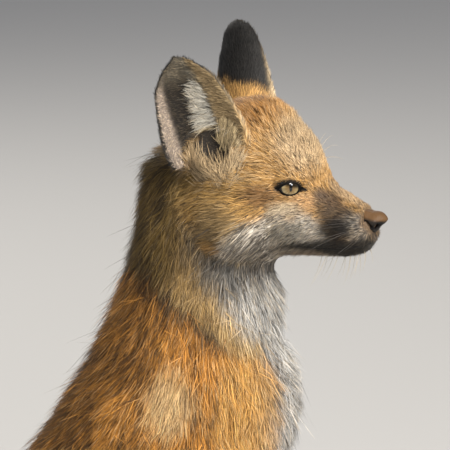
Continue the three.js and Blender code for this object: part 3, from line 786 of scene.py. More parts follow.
def grow_coat(name, density, tufts, seed, length, width, rise, clump, spine, bent=True,
              wander=.2, loose=0.0, trim=None, extra_lie=None, dye_by=None):
    """Tufts over the hide where density is above 0. length gives a tuft's mm for the coat's depth
    there, width is in mm, rise the tuft's slope at its root and tip in degrees, clump how far tips
    draw together and how far apart the clumps are in mm, spine the two ends of the line that the
    coat is unwrapped round, wander how far the hair strays from its lie, loose how many mm further
    than the rest its tips may stand out, trim a share of the length. extra_lie and dye_by take the
    place of the hide's own lie and colour."""
    draw = np.random.default_rng(seed)
    cell, spot = scatter(density, tufts, draw)
    root = at_roots(hide, cell, spot)
    normal = unit(at_roots(facing, cell, spot))
    way = unit(at_roots(lie if extra_lie is None else extra_lie, cell, spot))
    way = unit(way - normal * (way * normal).sum(1)[:, None])
    deep = at_roots(depth, cell, spot)[:, 0]
    tint = at_roots(colour if dye_by is None else dye_by, cell, spot)
    dark_share, pale_share = at_roots(pepper, cell, spot)[:, 0], at_roots(salt, cell, spot)[:, 0]
    pull, apart = clump
    grown_over = HIDE_AREA[quad_share(density) > 0].sum()
    clumps = max(int(tufts / max(apart**2 * tufts / grown_over, 1)), 8)
    seeds = draw.choice(tufts, clumps, replace=False)
    tree = KDTree(len(seeds))
    for k, seed_root in enumerate(root[seeds]):
        tree.insert(seed_root, k)
    tree.balance()
    nearest = np.array([tree.find(r)[1] for r in root])
    leader = seeds[nearest]
    sway = waver(root, 38, seed + 1, 2) * wander * 1.5 + draw.normal(0, wander * .5, len(seeds))[nearest]
    sway += draw.normal(0, wander * .8, tufts)
    across = np.cross(normal, way)
    way = way * np.cos(sway)[:, None] + across * np.sin(sway)[:, None]
    across = np.cross(normal, way)
    reach = length(deep) * (1 if trim is None else at_roots(trim, cell, spot)[:, 0])
    reach = reach * draw.uniform(.55, 1.18, tufts)
    reach = reach * draw.normal(1, .07, len(seeds)).clip(.7, 1.3)[nearest]
    stray = draw.uniform(0, 1, tufts) < STRAYS
    first, last = (
        np.radians(r * draw.normal(1, .25, tufts).clip(.3, 1.8) + stray * STRAY_RISE) for r in rise
    )
    guard = draw.uniform(0, 1, tufts) < dark_share
    pale = (~guard) & (draw.uniform(0, 1, tufts) < pale_share)
    reach = reach * np.where(guard, GUARD_LONG, 1)
    step_a = (way * np.cos(first)[:, None] + normal * np.sin(first)[:, None]) * (reach * KNEE)[:, None]
    step_b = (way * np.cos(last)[:, None] + normal * np.sin(last)[:, None]) * (reach * (1 - KNEE))[:, None]
    bend = waver(root, 24, seed + 2, 2) * .10 + draw.normal(0, .05, tufts)
    bend = bend[:, None] * across * reach[:, None]
    mid, tip = root + step_a - bend * .5, root + step_a + step_b + bend
    together = root[leader] + (tip - root)[leader] + (root - root[leader]) * .25
    ease = pull * draw.uniform(.5, 1.1, tufts)[:, None]
    tip = tip + (together - tip) * ease
    mid = mid + (root + (together - root) * KNEE + normal * (reach * .1)[:, None] - mid) * ease * .4
    carried = at_roots(moved, cell, spot)
    mid = tuck(mid - carried, .3 + stray) + carried
    tip = tuck(tip - carried, OUTSIDE + loose + stray * STRAY_OUT) + carried
    for spots in (mid, tip):
        spots[:, 2] = np.maximum(spots[:, 2], OFF_FLOOR)
    root = root - normal * np.minimum(deep * .25, .8)[:, None]
    half = (width * np.exp(draw.normal(0, .35, tufts)) * np.where(guard | stray, .8, 1) / 2)[:, None]
    tone = draw.normal(1, .10, len(seeds))[nearest] * draw.normal(1, .3, tufts)
    tone = tone.clip(.35, 1.7)[:, None]
    tint = tint * tone
    tint[guard] = tint[guard] * .2 + np.array(SOOT) * .4
    tip_tint = tint * 1.12
    frost = np.array(CREAM) * (tint[pale].mean(1) / .28)[:, None].clip(.2, 1.3)
    tip_tint[pale] = tint[pale] * 1.5 * (1 - FROST) + frost * 1.35 * FROST
    tint[pale] *= 1.1
    under = normal * half * 1.3
    if bent:
        points = np.stack([root, mid + across * half - under * .5, mid - across * half - under * .5,
                           mid + under * .5, tip], 1)
        # Painted shade: each tuft is darkest at its root, where the coat shades it.
        shades = np.stack([tint * ROOT_PAINTED_SHADE, tint, tint, tint, tip_tint], 1)
        own = np.stack([normal - way, normal + across, normal - across, normal, way], 1)
        flat_place = np.array([(.5, 0), (1, .5), (0, .5), (.5, .5), (.5, 1)])
        pattern = np.array([(0, 2, 1), (0, 3, 2), (0, 1, 3), (4, 1, 2), (4, 2, 3), (4, 3, 1)])
    else:
        points = np.stack([root + across * half, root - across * half, root + under, tip], 1)
        # Painted shade: the tuft's foot is darkest, where the coat shades it.
        at_foot = tint * ROOT_PAINTED_SHADE
        shades = np.stack([at_foot, at_foot, tint * (ROOT_PAINTED_SHADE + .2), tip_tint], 1)
        own = np.stack([across, -across, normal, way], 1)
        flat_place = np.array([(0, 0), (1, 0), (.5, 0), (.5, 1)])
        pattern = np.array([(0, 1, 2), (3, 2, 1), (0, 3, 1), (0, 2, 3)])
    points[..., 2] = np.maximum(points[..., 2], .1)
    each = points.shape[1]
    inside = points.mean(1)
    a, b, c = (points[:, pattern[-1][k]] for k in range(3))
    inward = np.einsum("ij,ij->i", a - inside, np.cross(b - a, c - a)) < 0
    corners = np.arange(tufts)[:, None, None] * each + pattern[None]
    corners[inward] = corners[inward][:, :, ::-1]
    corners = corners.reshape(-1, 3)
    normals = unit(normal[:, None] * NORMAL_BLEND + own * (1 - NORMAL_BLEND))
    start, end = (np.array(p, float) for p in spine)
    axis = unit(end - start)
    arm = root - start
    turn = unit(np.cross(axis, (0.3, 1, .2)))
    around = np.arctan2(arm @ np.cross(axis, turn), arm @ turn) / (2 * math.pi) + .5
    along = arm @ axis
    along = (along - along.min()) / max(np.ptp(along), 1e-6)
    base = np.column_stack([.01 + around * .97, .01 + along * .97])
    flat = base[:, None] + flat_place[None] * PATCH
    piece = coat_mesh(name, points.reshape(-1, 3), corners, np.clip(shades, 0, 1).reshape(-1, 3),
                      normals.reshape(-1, 3), flat.reshape(-1, 2))
    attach(piece, "root")
    return piece


fur = finish_for("fur", .62, 0, .25)
shader = fur.node_tree.nodes["Principled BSDF"]
shader.inputs["Sheen Weight"].default_value = .05
shader.inputs["Sheen Roughness"].default_value = .5

front_face = is_head * ramp(place[:, 0], -14, -8)
rest_of_head = is_head * (1 - front_face)
bare = (1 - nose_end) * (1 - bare_rim)
jaw_ruff = rest_of_head * ramp(place[:, 2], -4, -14) * ramp(place[:, 0], 16, 4)
SPINE_HEAD = (brow + HEAD_FRAME[0] * -70, brow + HEAD_FRAME[0] * 50)
grow_coat("coat_face", front_face * bare * (1 - jaw_ruff * .5), 46000, 11, lambda d: 2.0 + d * 1.6,
          .40, (24, 24), (.2, 2.0), SPINE_HEAD, bent=False,
          trim=(1 - .75 * near_nose) * (1 - .6 * near_rim))
grow_coat("coat_cheeks", rest_of_head * (1 - jaw_ruff * .6) * (1 - .7 * ear_pit), 34000, 12,
          lambda d: 2.4 + d * 1.6, .48, (24, 24), (.35, 3.0), SPINE_HEAD, bent=False,
          trim=(1 - .4 * ear_foot) * (1 - .6 * ear_pit) * (1 - .5 * ramp(near_body, .05, .4)))
grow_coat("coat_ruff", jaw_ruff, 24000, 22, lambda d: 3.5 + d * 1.8, .44, (36, 8), (.4, 2.6),
          SPINE_HEAD, trim=1 - .5 * ramp(near_body, .05, .4))

# ---------------------------------------------------------------- coat of the ears
# Velvet-short dark hair on the ears, a fan of long pale hair that grows in from each front edge
# across the cup, and an upright tuft of it below the opening. Tufts are rooted as on the head.
SPINE_EAR = (middle("ear_right") - (0, 0, 40), middle("ear_right") + (0, 0, 40))
FRINGE, FRINGE_FOOT, EAR_BASE = (.37, .345, .29), (.27, .205, .11), (.31, .22, .12)
grow_coat("coat_ears", is_ear * 1.0, 27000, 13, lambda d: 2.6 + d, .36, (18, 14), (.12, 3),
          SPINE_EAR, bent=False,
          trim=(1 - .5 * ramp(ear_up, .88, .97)) * (1 + 1.0 * (ear_inside < .5) * ramp(ear_up, .55, .3)))
fringe_colour = paint(all_over(FRINGE, len(hide)), np.maximum(is_head * 1.0, ear_pit), FRINGE_FOOT)
cup = is_ear & (ear_inside > .5)
fringe_lie = ear_tall * ((ear_up - .42) * 2.2)[:, None] - ear_wide
skin_place, skin_side = head_place(hide)
fringe_at = cup * ramp(ear_across, .08, .22) * ramp(ear_across, .5, .34)
fringe_at = fringe_at * ramp(ear_up, .02, .08) * ramp(ear_up, .72, .5)
fringe_at += ear_pit * (skin_place[:, 0] > EAR_MOUTH[0] + 2) * ramp(skin_place[:, 2], 17, 24)
grow_coat("coat_ear_fringe", fringe_at, 3600, 31, lambda d: 8.5 + d, .26, (38, 0), (.35, 2.6),
          SPINE_EAR, extra_lie=fringe_lie + (0, 0, 1e-6), dye_by=fringe_colour, wander=.35)
base_at = is_head * ramp(pit, .98, 1.08) * ramp(pit, 1.6, 1.4)
base_at = base_at * ramp(skin_place[:, 2], EAR_MOUTH[2] - 6, EAR_MOUTH[2] - 11)
upright = np.column_stack([skin_side * 0 - .25, skin_side * .15, skin_side * 0 + 1])
grow_coat("coat_ear_base", base_at, 3600, 32, lambda d: 12.0 + 0 * d, .28, (40, 10), (.4, 2.6),
          SPINE_HEAD, extra_lie=upright @ HEAD_FRAME,
          dye_by=all_over(EAR_BASE, len(hide)), wander=.45)

# ---------------------------------------------------------------- coat of neck and trunk
# The long woolly coat of a young animal, deepest on neck and chest. It is pale in front, rust on
# the shoulders and darkest along the nape, and hangs down over the roots of the legs.
SPINE_UP = ((60, 0, 100), (107, 0, 330))
SPINE_TRUNK = ((0, 0, 20), (100, 0, 240))
neck_up = within("neck") * 1.0
trunk = within("trunk") * 1.0
high = ramp(hide[:, 2], 130, 150)
grow_coat("coat_neck", neck_up, 47000, 14, lambda d: d * 1.8, .54, (23, 23), (.4, 3.6), SPINE_UP,
          bent=False, trim=1 - .45 * near_head)
grow_coat("coat_shoulders", trunk * high, 47000, 15, lambda d: d * 1.8, .56, (23, 23), (.45, 4.0),
          SPINE_TRUNK, bent=False)
grow_coat("coat_trunk", trunk * (1 - high), 30000, 16, lambda d: d * 2.1, .75, (22, 22), (.2, 3.2),
          SPINE_TRUNK, bent=False)

# ---------------------------------------------------------------- coat of the legs
# Hair that grows shorter and flatter towards the feet, where it lies along the toes. The forelegs
# and the hind feet are black-brown, like stockings.
SPINE_FORELEGS = ((110, 0, 0), (110, 0, 180))
SPINE_HINDLEGS = ((50, 0, 0), (50, 0, 110))
grow_coat("coat_forelegs", stocking * 1.0, 22000, 17, lambda d: 2.5 + d * 1.8, .6, (16, 16), (.15, 2.4),
          SPINE_FORELEGS, bent=False)
grow_coat("coat_hindlegs", thigh * 1.0, 32000, 18, lambda d: 2.5 + d * 1.8, .75, (18, 18), (.15, 3),
          SPINE_HINDLEGS, bent=False)

# ---------------------------------------------------------------- coat of the brush
# The bushy tail, curled round the right haunch: long hair swept towards the tip, brown with black
# guard hairs, and white at the end.
SPINE_BRUSH = ((-60, -60, 0), (-60, -60, 50))
grow_coat("coat_tail", is_tail * 1.0, 34000, 19, lambda d: d * 2.2, .75, (22, 22), (.2, 3.5),
          SPINE_BRUSH, bent=False)

# ---------------------------------------------------------------- loose hairs
# Long fine hairs that stand out of a young animal's woolly coat, most on chest, neck and back.
# Each is a slender bent tuft rooted among the rest.
under_chin = ramp(hide[:, 0], 120, 128) * ramp(hide[:, 2], 246, 256)
outline_hair = neck_up + trunk * high * (1 + ramp(pale, -6, 2)) + rest_of_head * .5
outline_hair = outline_hair * (1 - .8 * ear_pit) * (1 - under_chin)
grow_coat("coat_wisps", outline_hair, 6000, 23, lambda d: 5 + d * 1.7, .26, (42, 16), (.5, 4.5),
          SPINE_UP, wander=.5, loose=2.6)

# ---------------------------------------------------------------- eyes
# Glass-bright amber eyes, each a ball with a slightly raised clear front, an upright slit of a
# pupil and a dark ring round the iris. They sit deep in the head, and the lids hold them there.
IRIS, PUPIL_WIDE, PUPIL_HIGH = 5.2, .85, 2.3  # mm half sizes
CORNEA_RISE = .5  # mm that the clear front stands up
LID_PAINTED_SHADE = .93  # painted shade: how dark the upper lid's shadow is painted on the top of the ball
AMBER_IN, AMBER_OUT, RING = (.15, .095, .036), (.23, .175, .088), (.010, .008, .006)

hide_tree = BVHTree.FromPolygons(hide.tolist(), quads.tolist())


def plain_mesh(name, points, faces, shades, material):
    mesh = bpy.data.meshes.new(name)
    mesh.from_pydata((np.asarray(points) * MM).tolist(), [], [list(map(int, f)) for f in faces])
    mesh.shade_smooth()
    dye_points(mesh, shades)
    mesh.materials.append(material)
    piece = set_out(name, mesh)
    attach(piece, "root")
    return piece


def ring_faces(rings, around, endless=False):
    """Quads between rings of points that share a count; endless joins the last ring to the first,
    otherwise both ends are capped."""
    faces = []
    for r in range(rings if endless else rings - 1):
        for k in range(around):
            n, s = (k + 1) % around, (r + 1) % rings
            faces.append((r * around + k, r * around + n, s * around + n, s * around + k))
    if not endless:
        faces += [tuple(range(around))[::-1], tuple(range((rings - 1) * around, rings * around))]
    return faces


def outward(points, faces):
    """The same faces, turned so that a closed form has its outside out."""
    volume = 0
    for f in faces:
        a = points[f[0]]
        for k in range(1, len(f) - 1):
            volume += a @ np.cross(points[f[k]], points[f[k + 1]])
    return faces if volume > 0 else [f[::-1] for f in faces]


eye_finish = finish_for("eye", .3, .75, 0)
for name, hand, centre in (("eye_left", 1, eye_left), ("eye_right", -1, eye_right)):
    looks, along, rise = eye_axes(hand)
    polar = np.concatenate([np.linspace(0.004, 1.0, 64), np.linspace(1.04, math.pi - .01, 20)])
    turn = np.arange(96) / 96 * 2 * math.pi
    polar_grid, turn_grid = np.meshgrid(polar, turn, indexing="ij")
    flat = np.sin(polar_grid) * EYE_RADIUS
    sideways, upwards = flat * np.cos(turn_grid), flat * np.sin(turn_grid)
    bulge = CORNEA_RISE * np.clip(1 - (polar_grid / .85) ** 2, 0, 1) ** 1.5
    front = np.cos(polar_grid) * EYE_RADIUS + bulge
    points = centre + sideways[..., None] * along + upwards[..., None] * rise + front[..., None] * looks
    spokes = np.stack([np.cos(turn_grid), np.sin(turn_grid), turn_grid * 0], -1).reshape(-1, 3)
    streak = waver(spokes * 30, 9, 31)
    far = np.hypot(sideways, upwards).ravel() / IRIS
    far = np.where(polar_grid.ravel() > 1.5, 3, far)
    slit = np.hypot(sideways / PUPIL_WIDE, upwards / PUPIL_HIGH).ravel()
    tint = paint(all_over(AMBER_IN, far.size), ramp(far, .45, .85), AMBER_OUT)
    tint = tint * (1 + .35 * streak * ramp(far, .2, .5))[:, None]
    tint = layered(tint, [
        (ramp(far, .84, .98), RING),
        (ramp(far, .55, .2) * .55, (.06, .034, .014)),
        (ramp(slit, 1.15, .9), (.004, .004, .004)),
    ])
    # Painted shade of the upper lid over the top of the ball.
    tint = tint * (1 - LID_PAINTED_SHADE * ramp(upwards.ravel() + sideways.ravel() * .25, -.6, 1.5))[:, None]
    points = points.reshape(-1, 3)
    faces = outward(points - centre, ring_faces(len(polar), len(turn)))
    ball = plain_mesh(name + "_ball", points, faces, np.clip(tint, 0, 1), eye_finish)
    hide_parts(name)

# ---------------------------------------------------------------- eyelids
# Skin folds that close over each eyeball and leave an almond opening. Their edges are bare, black
# and moist, run out to a point at each corner, and carry on as a dark tear mark towards the muzzle.
LID_STEPS = (-.5, 0, .45, 1.0, 1.6, 2.3, 1.2)  # mm out from the opening's edge
LID_LIFT = (-.9, .35, .65, .7, .45, -.5, -3.5)  # mm in front of the ball or the hide at each step
lid_finish = finish_for("eyelid", .5, 0, .05)


def almond(turn):
    """A lens-shaped opening: two arcs that meet in pointed corners."""
    high = np.where(np.sin(turn) > 0, LID_UPPER, LID_LOWER)
    radius = (LID_LONG**2 + high**2) / (2 * high)
    wide = LID_LONG * np.cos(turn)
    high = (np.sqrt(radius**2 - wide**2) - (radius - high)) * np.sign(np.sin(turn))
    return wide, high * (1 + np.where(high > 0, .2, -.15) * wide / LID_LONG)


for name, centre, hand in (("left", eye_left, 1), ("right", eye_right, -1)):
    looks, along, rise = eye_axes(hand)
    turn = (np.arange(80) + .5) / 80 * 2 * math.pi
    wide, high = almond(turn)
    away = unit(np.column_stack([np.cos(turn) * .8, np.sin(turn)]))
    tilt = math.radians(LID_TILT)
    points, shades = [], []
    nose_side = np.clip(np.cos(turn), 0, 1)  # the black edge is widest above the corner by the nose
    broad = np.where(high > 0, .8 + .25 * nose_side, .55) + 1.9 * nose_side**12
    broad = broad + .8 * np.clip(-np.cos(turn), 0, 1) ** 16
    for step, lift in zip(LID_STEPS, LID_LIFT):
        w, h = wide + away[:, 0] * step * broad, high + away[:, 1] * step * np.minimum(broad, 1.1)
        black = rim_share(w, h)
        a, b = w * math.cos(tilt) + h * math.sin(tilt), h * math.cos(tilt) - w * math.sin(tilt)
        a, b = a + OPENING_AT[0], b + OPENING_AT[1]
        for k in range(len(turn)):
            off = math.hypot(a[k], b[k])
            ball_front = math.sqrt(max(EYE_RADIUS**2 - off**2, 0)) if off < EYE_RADIUS else -9
            start_at = centre + along * a[k] + rise * b[k] + looks * 30
            hit = hide_tree.ray_cast(Vector(start_at), Vector(-looks))
            front = max(ball_front, 30 - hit[3] - .4 if hit[0] is not None else -9)
            points.append(centre + along * a[k] + rise * b[k] + looks * (front + lift))
        shades.append(paint(all_over((.02, .014, .009), len(turn)), black, (.004, .004, .004)))
    points = np.array(points)
    faces = outward(points - centre, ring_faces(len(LID_STEPS), len(turn), True))
    lid = plain_mesh("eyelid_" + name, points, faces, np.concatenate(shades), lid_finish)

# ---------------------------------------------------------------- nose
# A pad of bare, finely pebbled leather at the end of the muzzle, with two nostrils that curl out
# to the side, and a groove down the middle to the lip.
NOSE_VOXEL = .35  # mm
span = np.arange(-12, 12, NOSE_VOXEL)
nose_cells = np.stack(np.meshgrid(span, span, span, indexing="ij"), -1)


def blob(points, at, sizes):
    """Distance to an egg form and its twin on the other side of the nose."""
    away = np.linalg.norm((points * (1, 0, 1) + np.abs(points) * (0, 1, 0) - at) / sizes, axis=-1)
    return (away - 1) * min(sizes)


def rod(points, start, end, radius):
    start, end = np.array(start, float), np.array(end, float)
    arm = points * (1, 0, 1) + np.abs(points) * (0, 1, 0) - start
    t = np.clip((arm @ (end - start)) / ((end - start) @ (end - start)), 0, 1)
    return np.linalg.norm(arm - t[..., None] * (end - start), axis=-1) - radius


def melted_all(forms, soft):
    total = forms[0]
    for form in forms[1:]:
        total = melt(total, form, soft)
    return total


def nostril(points):
    hole = blob(points, (1.6, 4.6, -2.6), (3.1, 2.6, 2.2))
    hole = np.minimum(hole, rod(points, (2, 4.6, -2.8), (-4, 2.4, -1.8), 1.6))
    slot = rod(points, (.6, 5.6, -3.2), (-2.4, 6.8, -3.8), 1.4)
    slot = np.minimum(slot, rod(points, (-2.4, 6.9, -3.8), (-5.8, 7.0, -.4), 1.1))
    return np.minimum(hole, slot)


# The pad's front runs back and down, so its lower half is set out on slanted cells.
slanted = nose_cells + np.clip(1 - nose_cells[..., 2:], 0, 4.5) * (.42, 0, 0)
pad = melted_all([
    blob(slanted, (-1.5, 0, .8), (6.2, 5.0, 4.2)), blob(slanted, (-2.4, 0, -3.1), (4.5, 4.8, 3.6)),
    blob(slanted, (-3.2, 4.4, -.8), (4.6, 3.3, 4.0)), rod(nose_cells, (-8, 2.6, 2.8), (-.6, 1.4, 1.9), 2.9),
    blob(nose_cells, (-7, 0, -.6), (4, 7.2, 5.8)),
], 1.6)
pad = carved(pad, nostril(nose_cells), .7)
pad = carved(pad, rod(nose_cells, (7.4, 0, .2), (4.6, 0, -8), .5), .7)
nose_grid = vdb.FloatGrid(3.0)
nose_grid.copyFromArray(pad.astype(np.float32))
nose_grid.transform = vdb.createLinearTransform(NOSE_VOXEL)
nose_points, nose_quads = nose_grid.convertToQuads(isovalue=0.0)
nose_points = nose_points.astype(float) + span[0]
nose_quads = nose_quads[:, ::-1].astype(np.int64)
nose_links = (nose_quads.T.reshape(-1), np.roll(nose_quads, -1, 1).T.reshape(-1))
nose_count = np.bincount(nose_links[0], minlength=len(nose_points))
nose_points = relax(nose_points, np.full(len(nose_points), .5), 2, nose_links, nose_count)
lit_top = ramp(nose_points[:, 2] + nose_points[:, 0] * .2, -.2, 1.9)
nose_tint = layered(all_over((.013, .010, .008), len(nose_points)), [
    (lit_top * .9, (.105, .056, .024)),
    # Painted shade inside the nostrils.
    (ramp(nostril(nose_points), 1.1, .2), (.004, .003, .003)),
])
nose_points = (nose_points - (.7, 0, 0)) @ HEAD_FRAME + nose_middle
nose_finish = finish_for("nose_leather", .5, 0, .14)
leather = nose_finish.node_tree
grain = leather.nodes.new("ShaderNodeTexVoronoi")
grain.inputs["Scale"].default_value = 1100
where = leather.nodes.new("ShaderNodeTexCoord")
bump = leather.nodes.new("ShaderNodeBump")
bump.inputs["Strength"].default_value = .5
bump.inputs["Distance"].default_value = .0003
leather.links.new(where.outputs["Object"], grain.inputs["Vector"])
leather.links.new(grain.outputs["Distance"], bump.inputs["Height"])
leather.links.new(bump.outputs["Normal"], leather.nodes["Principled BSDF"].inputs["Normal"])
nose = plain_mesh("nose_pad", nose_points, nose_quads, nose_tint, nose_finish)
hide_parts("nose")

# ---------------------------------------------------------------- lips
# The closed mouth: a black, bare upper and lower lip that meet in a fine line from under the nose
# back to the corner below the eye.
# The line in which they meet, in mm forward and up from midway between the eyes.
MOUTH = ((1, -32), (8, -33.5), (15, -34.2), (25, -34.7), (36, -33.6), (44, -31.8), (50, -29.6))
LIP_FRONT = 40  # mm forward, where the lip line turns across the muzzle
lip_finish = finish_for("lip", .8, 0, .2)


def tube(path, sizes, sides=8):
    path = np.array(path)
    heading = unit(np.gradient(path, axis=0))
    up = unit(np.cross(heading, (0, 0, 1)))
    over = np.cross(up, heading)
    ring = np.arange(sides) / sides * 2 * math.pi
    spokes = np.cos(ring)[None, :, None] * up[:, None] + np.sin(ring)[None, :, None] * over[:, None]
    points = (path[:, None] + spokes * np.array(sizes)[:, None, None]).reshape(-1, 3)
    return points, outward(points, ring_faces(len(path), sides))


def on_muzzle(forward, across, height):
    """The hide's point seen from outside at this place on the mouth line."""
    target = np.array((min(forward, LIP_FRONT), 0, height))
    arm = unit(np.array((max(forward - LIP_FRONT, 0) * 2.2, across, 0)))
    start_at = (target + arm * 60) @ HEAD_FRAME + brow
    aim = -(arm @ HEAD_FRAME)
    hit = hide_tree.ray_cast(Vector(start_at), Vector(aim))
    return np.array(hit[0]) + aim * .15


lip_curve = []
for t in np.linspace(0, 1, 25):
    forward = 1 + 47 * t
    height = np.interp(forward, [m[0] for m in MOUTH], [m[1] for m in MOUTH])
    lip_curve.append((forward, 12.0, height))
for across in np.linspace(10, 0, 7):
    lip_curve.append((48 + (10 - across) * .25, across, -30.2 + (10 - across) * .06))
right = [on_muzzle(f, -a, h) for f, a, h in lip_curve]
left = [on_muzzle(f, a, h) for f, a, h in lip_curve[:-1]][::-1]
line = np.array(right + left)
line = np.array([line[max(i - 1, 0):i + 2].mean(0) for i in range(len(line))])
taper = np.clip(np.minimum(np.arange(len(line)), np.arange(len(line))[::-1]) / 6, .25, 1)
upper_points, upper_faces = tube(line + (0, 0, .45), taper * .62)
lower_points, lower_faces = tube(line - (0, 0, .75), taper * .85)
lips = plain_mesh("lips", np.concatenate([upper_points, lower_points]),
                  upper_faces + [tuple(i + len(upper_points) for i in f) for f in lower_faces],
                  all_over(BLACK, len(upper_points) + len(lower_points)), lip_finish)

# ---------------------------------------------------------------- claws
# Short curved claws of dark horn, one on each toe, set into the ends of the paws. They are worn
# blunt and show fine lines along their length.
horn = bpy.data.materials.new("claw_horn")
horn.use_nodes = True
nodes, wires = horn.node_tree.nodes, horn.node_tree.links
shader = nodes["Principled BSDF"]
shader.inputs["Roughness"].default_value = .38
shader.inputs["Specular IOR Level"].default_value = .5
where = nodes.new("ShaderNodeTexCoord")
lines = nodes.new("ShaderNodeTexNoise")
shades = nodes.new("ShaderNodeValToRGB")
stretch = nodes.new("ShaderNodeMapping")
stretch.inputs["Scale"].default_value = (200, 2600, 600)
lines.inputs["Scale"].default_value = 1
lines.inputs["Detail"].default_value = 3
shades.color_ramp.elements[0].color = (.014, .010, .008, 1)
shades.color_ramp.elements[1].color = (.095, .070, .048, 1)
bump = nodes.new("ShaderNodeBump")
bump.inputs["Strength"].default_value = .25
bump.inputs["Distance"].default_value = .0002
wires.new(where.outputs["Object"], stretch.inputs["Vector"])
wires.new(stretch.outputs["Vector"], lines.inputs["Vector"])
wires.new(lines.outputs["Fac"], shades.inputs["Fac"])
wires.new(lines.outputs["Fac"], bump.inputs["Height"])
wires.new(shades.outputs["Color"], shader.inputs["Base Color"])
wires.new(bump.outputs["Normal"], shader.inputs["Normal"])
for name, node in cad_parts.items():
    node.data.materials.clear()
    node.data.materials.append(horn if "claw" in name else leathery)

# ---------------------------------------------------------------- whiskers
# Long stiff hairs, thick at the root and drawn out to nothing: rows on each side of the upper lip,
# a few under the chin, and two or three over each eye.
DARK_HAIRS = [  # root in mm forward, out, up from midway between the eyes; sweep; length; droop
    ((40, 12, -19), (-.55, .75, .15), 26, .10), ((36, 13, -20), (-.6, .75, .05), 30, .14),
    ((32, 14, -22), (-.65, .72, 0), 31, .18), ((41, 11, -23), (-.5, .8, -.1), 24, .16),
    ((37, 12, -24), (-.55, .78, -.15), 28, .2), ((33, 13, -26), (-.6, .75, -.2), 28, .24),
    ((42, 9, -27), (-.4, .75, -.4), 17, .2), ((37, 10, -28), (-.45, .7, -.45), 19, .2),
]
PALE_HAIRS = [  # the chin's and the brows'
    ((38, 6, -38), (.1, .3, -.9), 15, .1), ((32, 7, -39), (0, .25, -.9), 18, .1),
    ((26, 7, -39), (-.1, .2, -.85), 17, .1), ((20, 8, -40), (-.15, .2, -.8), 19, .1),
    ((35, 3, -38), (.3, .1, -.95), 14, .1), ((16, 5, -40), (-.1, .2, -.95), 16, .1),
    ((41, 5, -37), (.35, .3, -.85), 11, .1), ((29, 4, -39), (.1, .1, -.95), 13, .1),
    ((12, 13, 14), (.55, .35, .75), 17, .5), ((10, 14, 15), (.35, .4, .85), 19, .4),
    ((14, 12, 12), (.75, .3, .5), 14, .5), ((9, 12, 17), (.3, .3, .9), 15, .4),
]
WHISKER_THICK = .24  # mm at the root
TAPER_FROM, TAPER_POWER = 1.04, .8  # it thins as (1.04 - share of its length) to the power .8
WHISKER_SIDES = 5
WHISKER_STEPS = 10  # straight lengths in one hair
SHEATH = .4  # mm that its root is sunk in the skin


def whisker_tree():
    tree = bpy.data.node_groups.new("whiskers", "GeometryNodeTree")
    for socket, kind in (("Geometry", "NodeSocketGeometry"), ("Thickness", "NodeSocketFloat"),
                         ("Sides", "NodeSocketInt"), ("Hair", "NodeSocketMaterial")):
        tree.interface.new_socket(socket, in_out="INPUT", socket_type=kind)
    tree.interface.new_socket("Geometry", in_out="OUTPUT", socket_type="NodeSocketGeometry")
    make = tree.nodes.new
    source, result = make("NodeGroupInput"), make("NodeGroupOutput")
    curve, profile = make("GeometryNodeMeshToCurve"), make("GeometryNodeCurvePrimitiveCircle")
    sweep, radius = make("GeometryNodeCurveToMesh"), make("GeometryNodeInputRadius")
    along, thin, half = make("GeometryNodeSplineParameter"), make("ShaderNodeMath"), make("ShaderNodeMath")
    power, size = make("ShaderNodeMath"), make("GeometryNodeSetCurveRadius")
    realize, dress = make("GeometryNodeRealizeInstances"), make("GeometryNodeSetMaterial")
    smooth = make("GeometryNodeSetShadeSmooth")
    thin.operation, thin.inputs[0].default_value = "SUBTRACT", TAPER_FROM
    power.operation, power.inputs[1].default_value = "POWER", TAPER_POWER
    half.operation, half.inputs[1].default_value = "MULTIPLY", .5
    profile.inputs["Radius"].default_value = 1
    sweep.inputs["Fill Caps"].default_value = True
    join = tree.links.new
    join(source.outputs["Geometry"], curve.inputs["Mesh"])
    join(along.outputs["Factor"], thin.inputs[1])
    join(thin.outputs[0], power.inputs[0])
    scaled = make("ShaderNodeMath")
    scaled.operation = "MULTIPLY"
    join(source.outputs["Thickness"], half.inputs[0])
    join(half.outputs[0], scaled.inputs[0])
    join(power.outputs[0], scaled.inputs[1])
    join(curve.outputs["Curve"], size.inputs["Curve"])
    join(scaled.outputs[0], size.inputs["Radius"])
    join(source.outputs["Sides"], profile.inputs["Resolution"])
    join(size.outputs["Curve"], sweep.inputs["Curve"])
    join(profile.outputs["Curve"], sweep.inputs["Profile Curve"])
    join(radius.outputs["Radius"], sweep.inputs["Scale"])
    join(sweep.outputs["Mesh"], smooth.inputs["Geometry"])
    join(smooth.outputs["Geometry"], realize.inputs["Geometry"])
    join(realize.outputs["Geometry"], dress.inputs["Geometry"])
    join(source.outputs["Hair"], dress.inputs["Material"])
    join(dress.outputs["Geometry"], result.inputs["Geometry"])
    return tree


WHISKERS = whisker_tree()


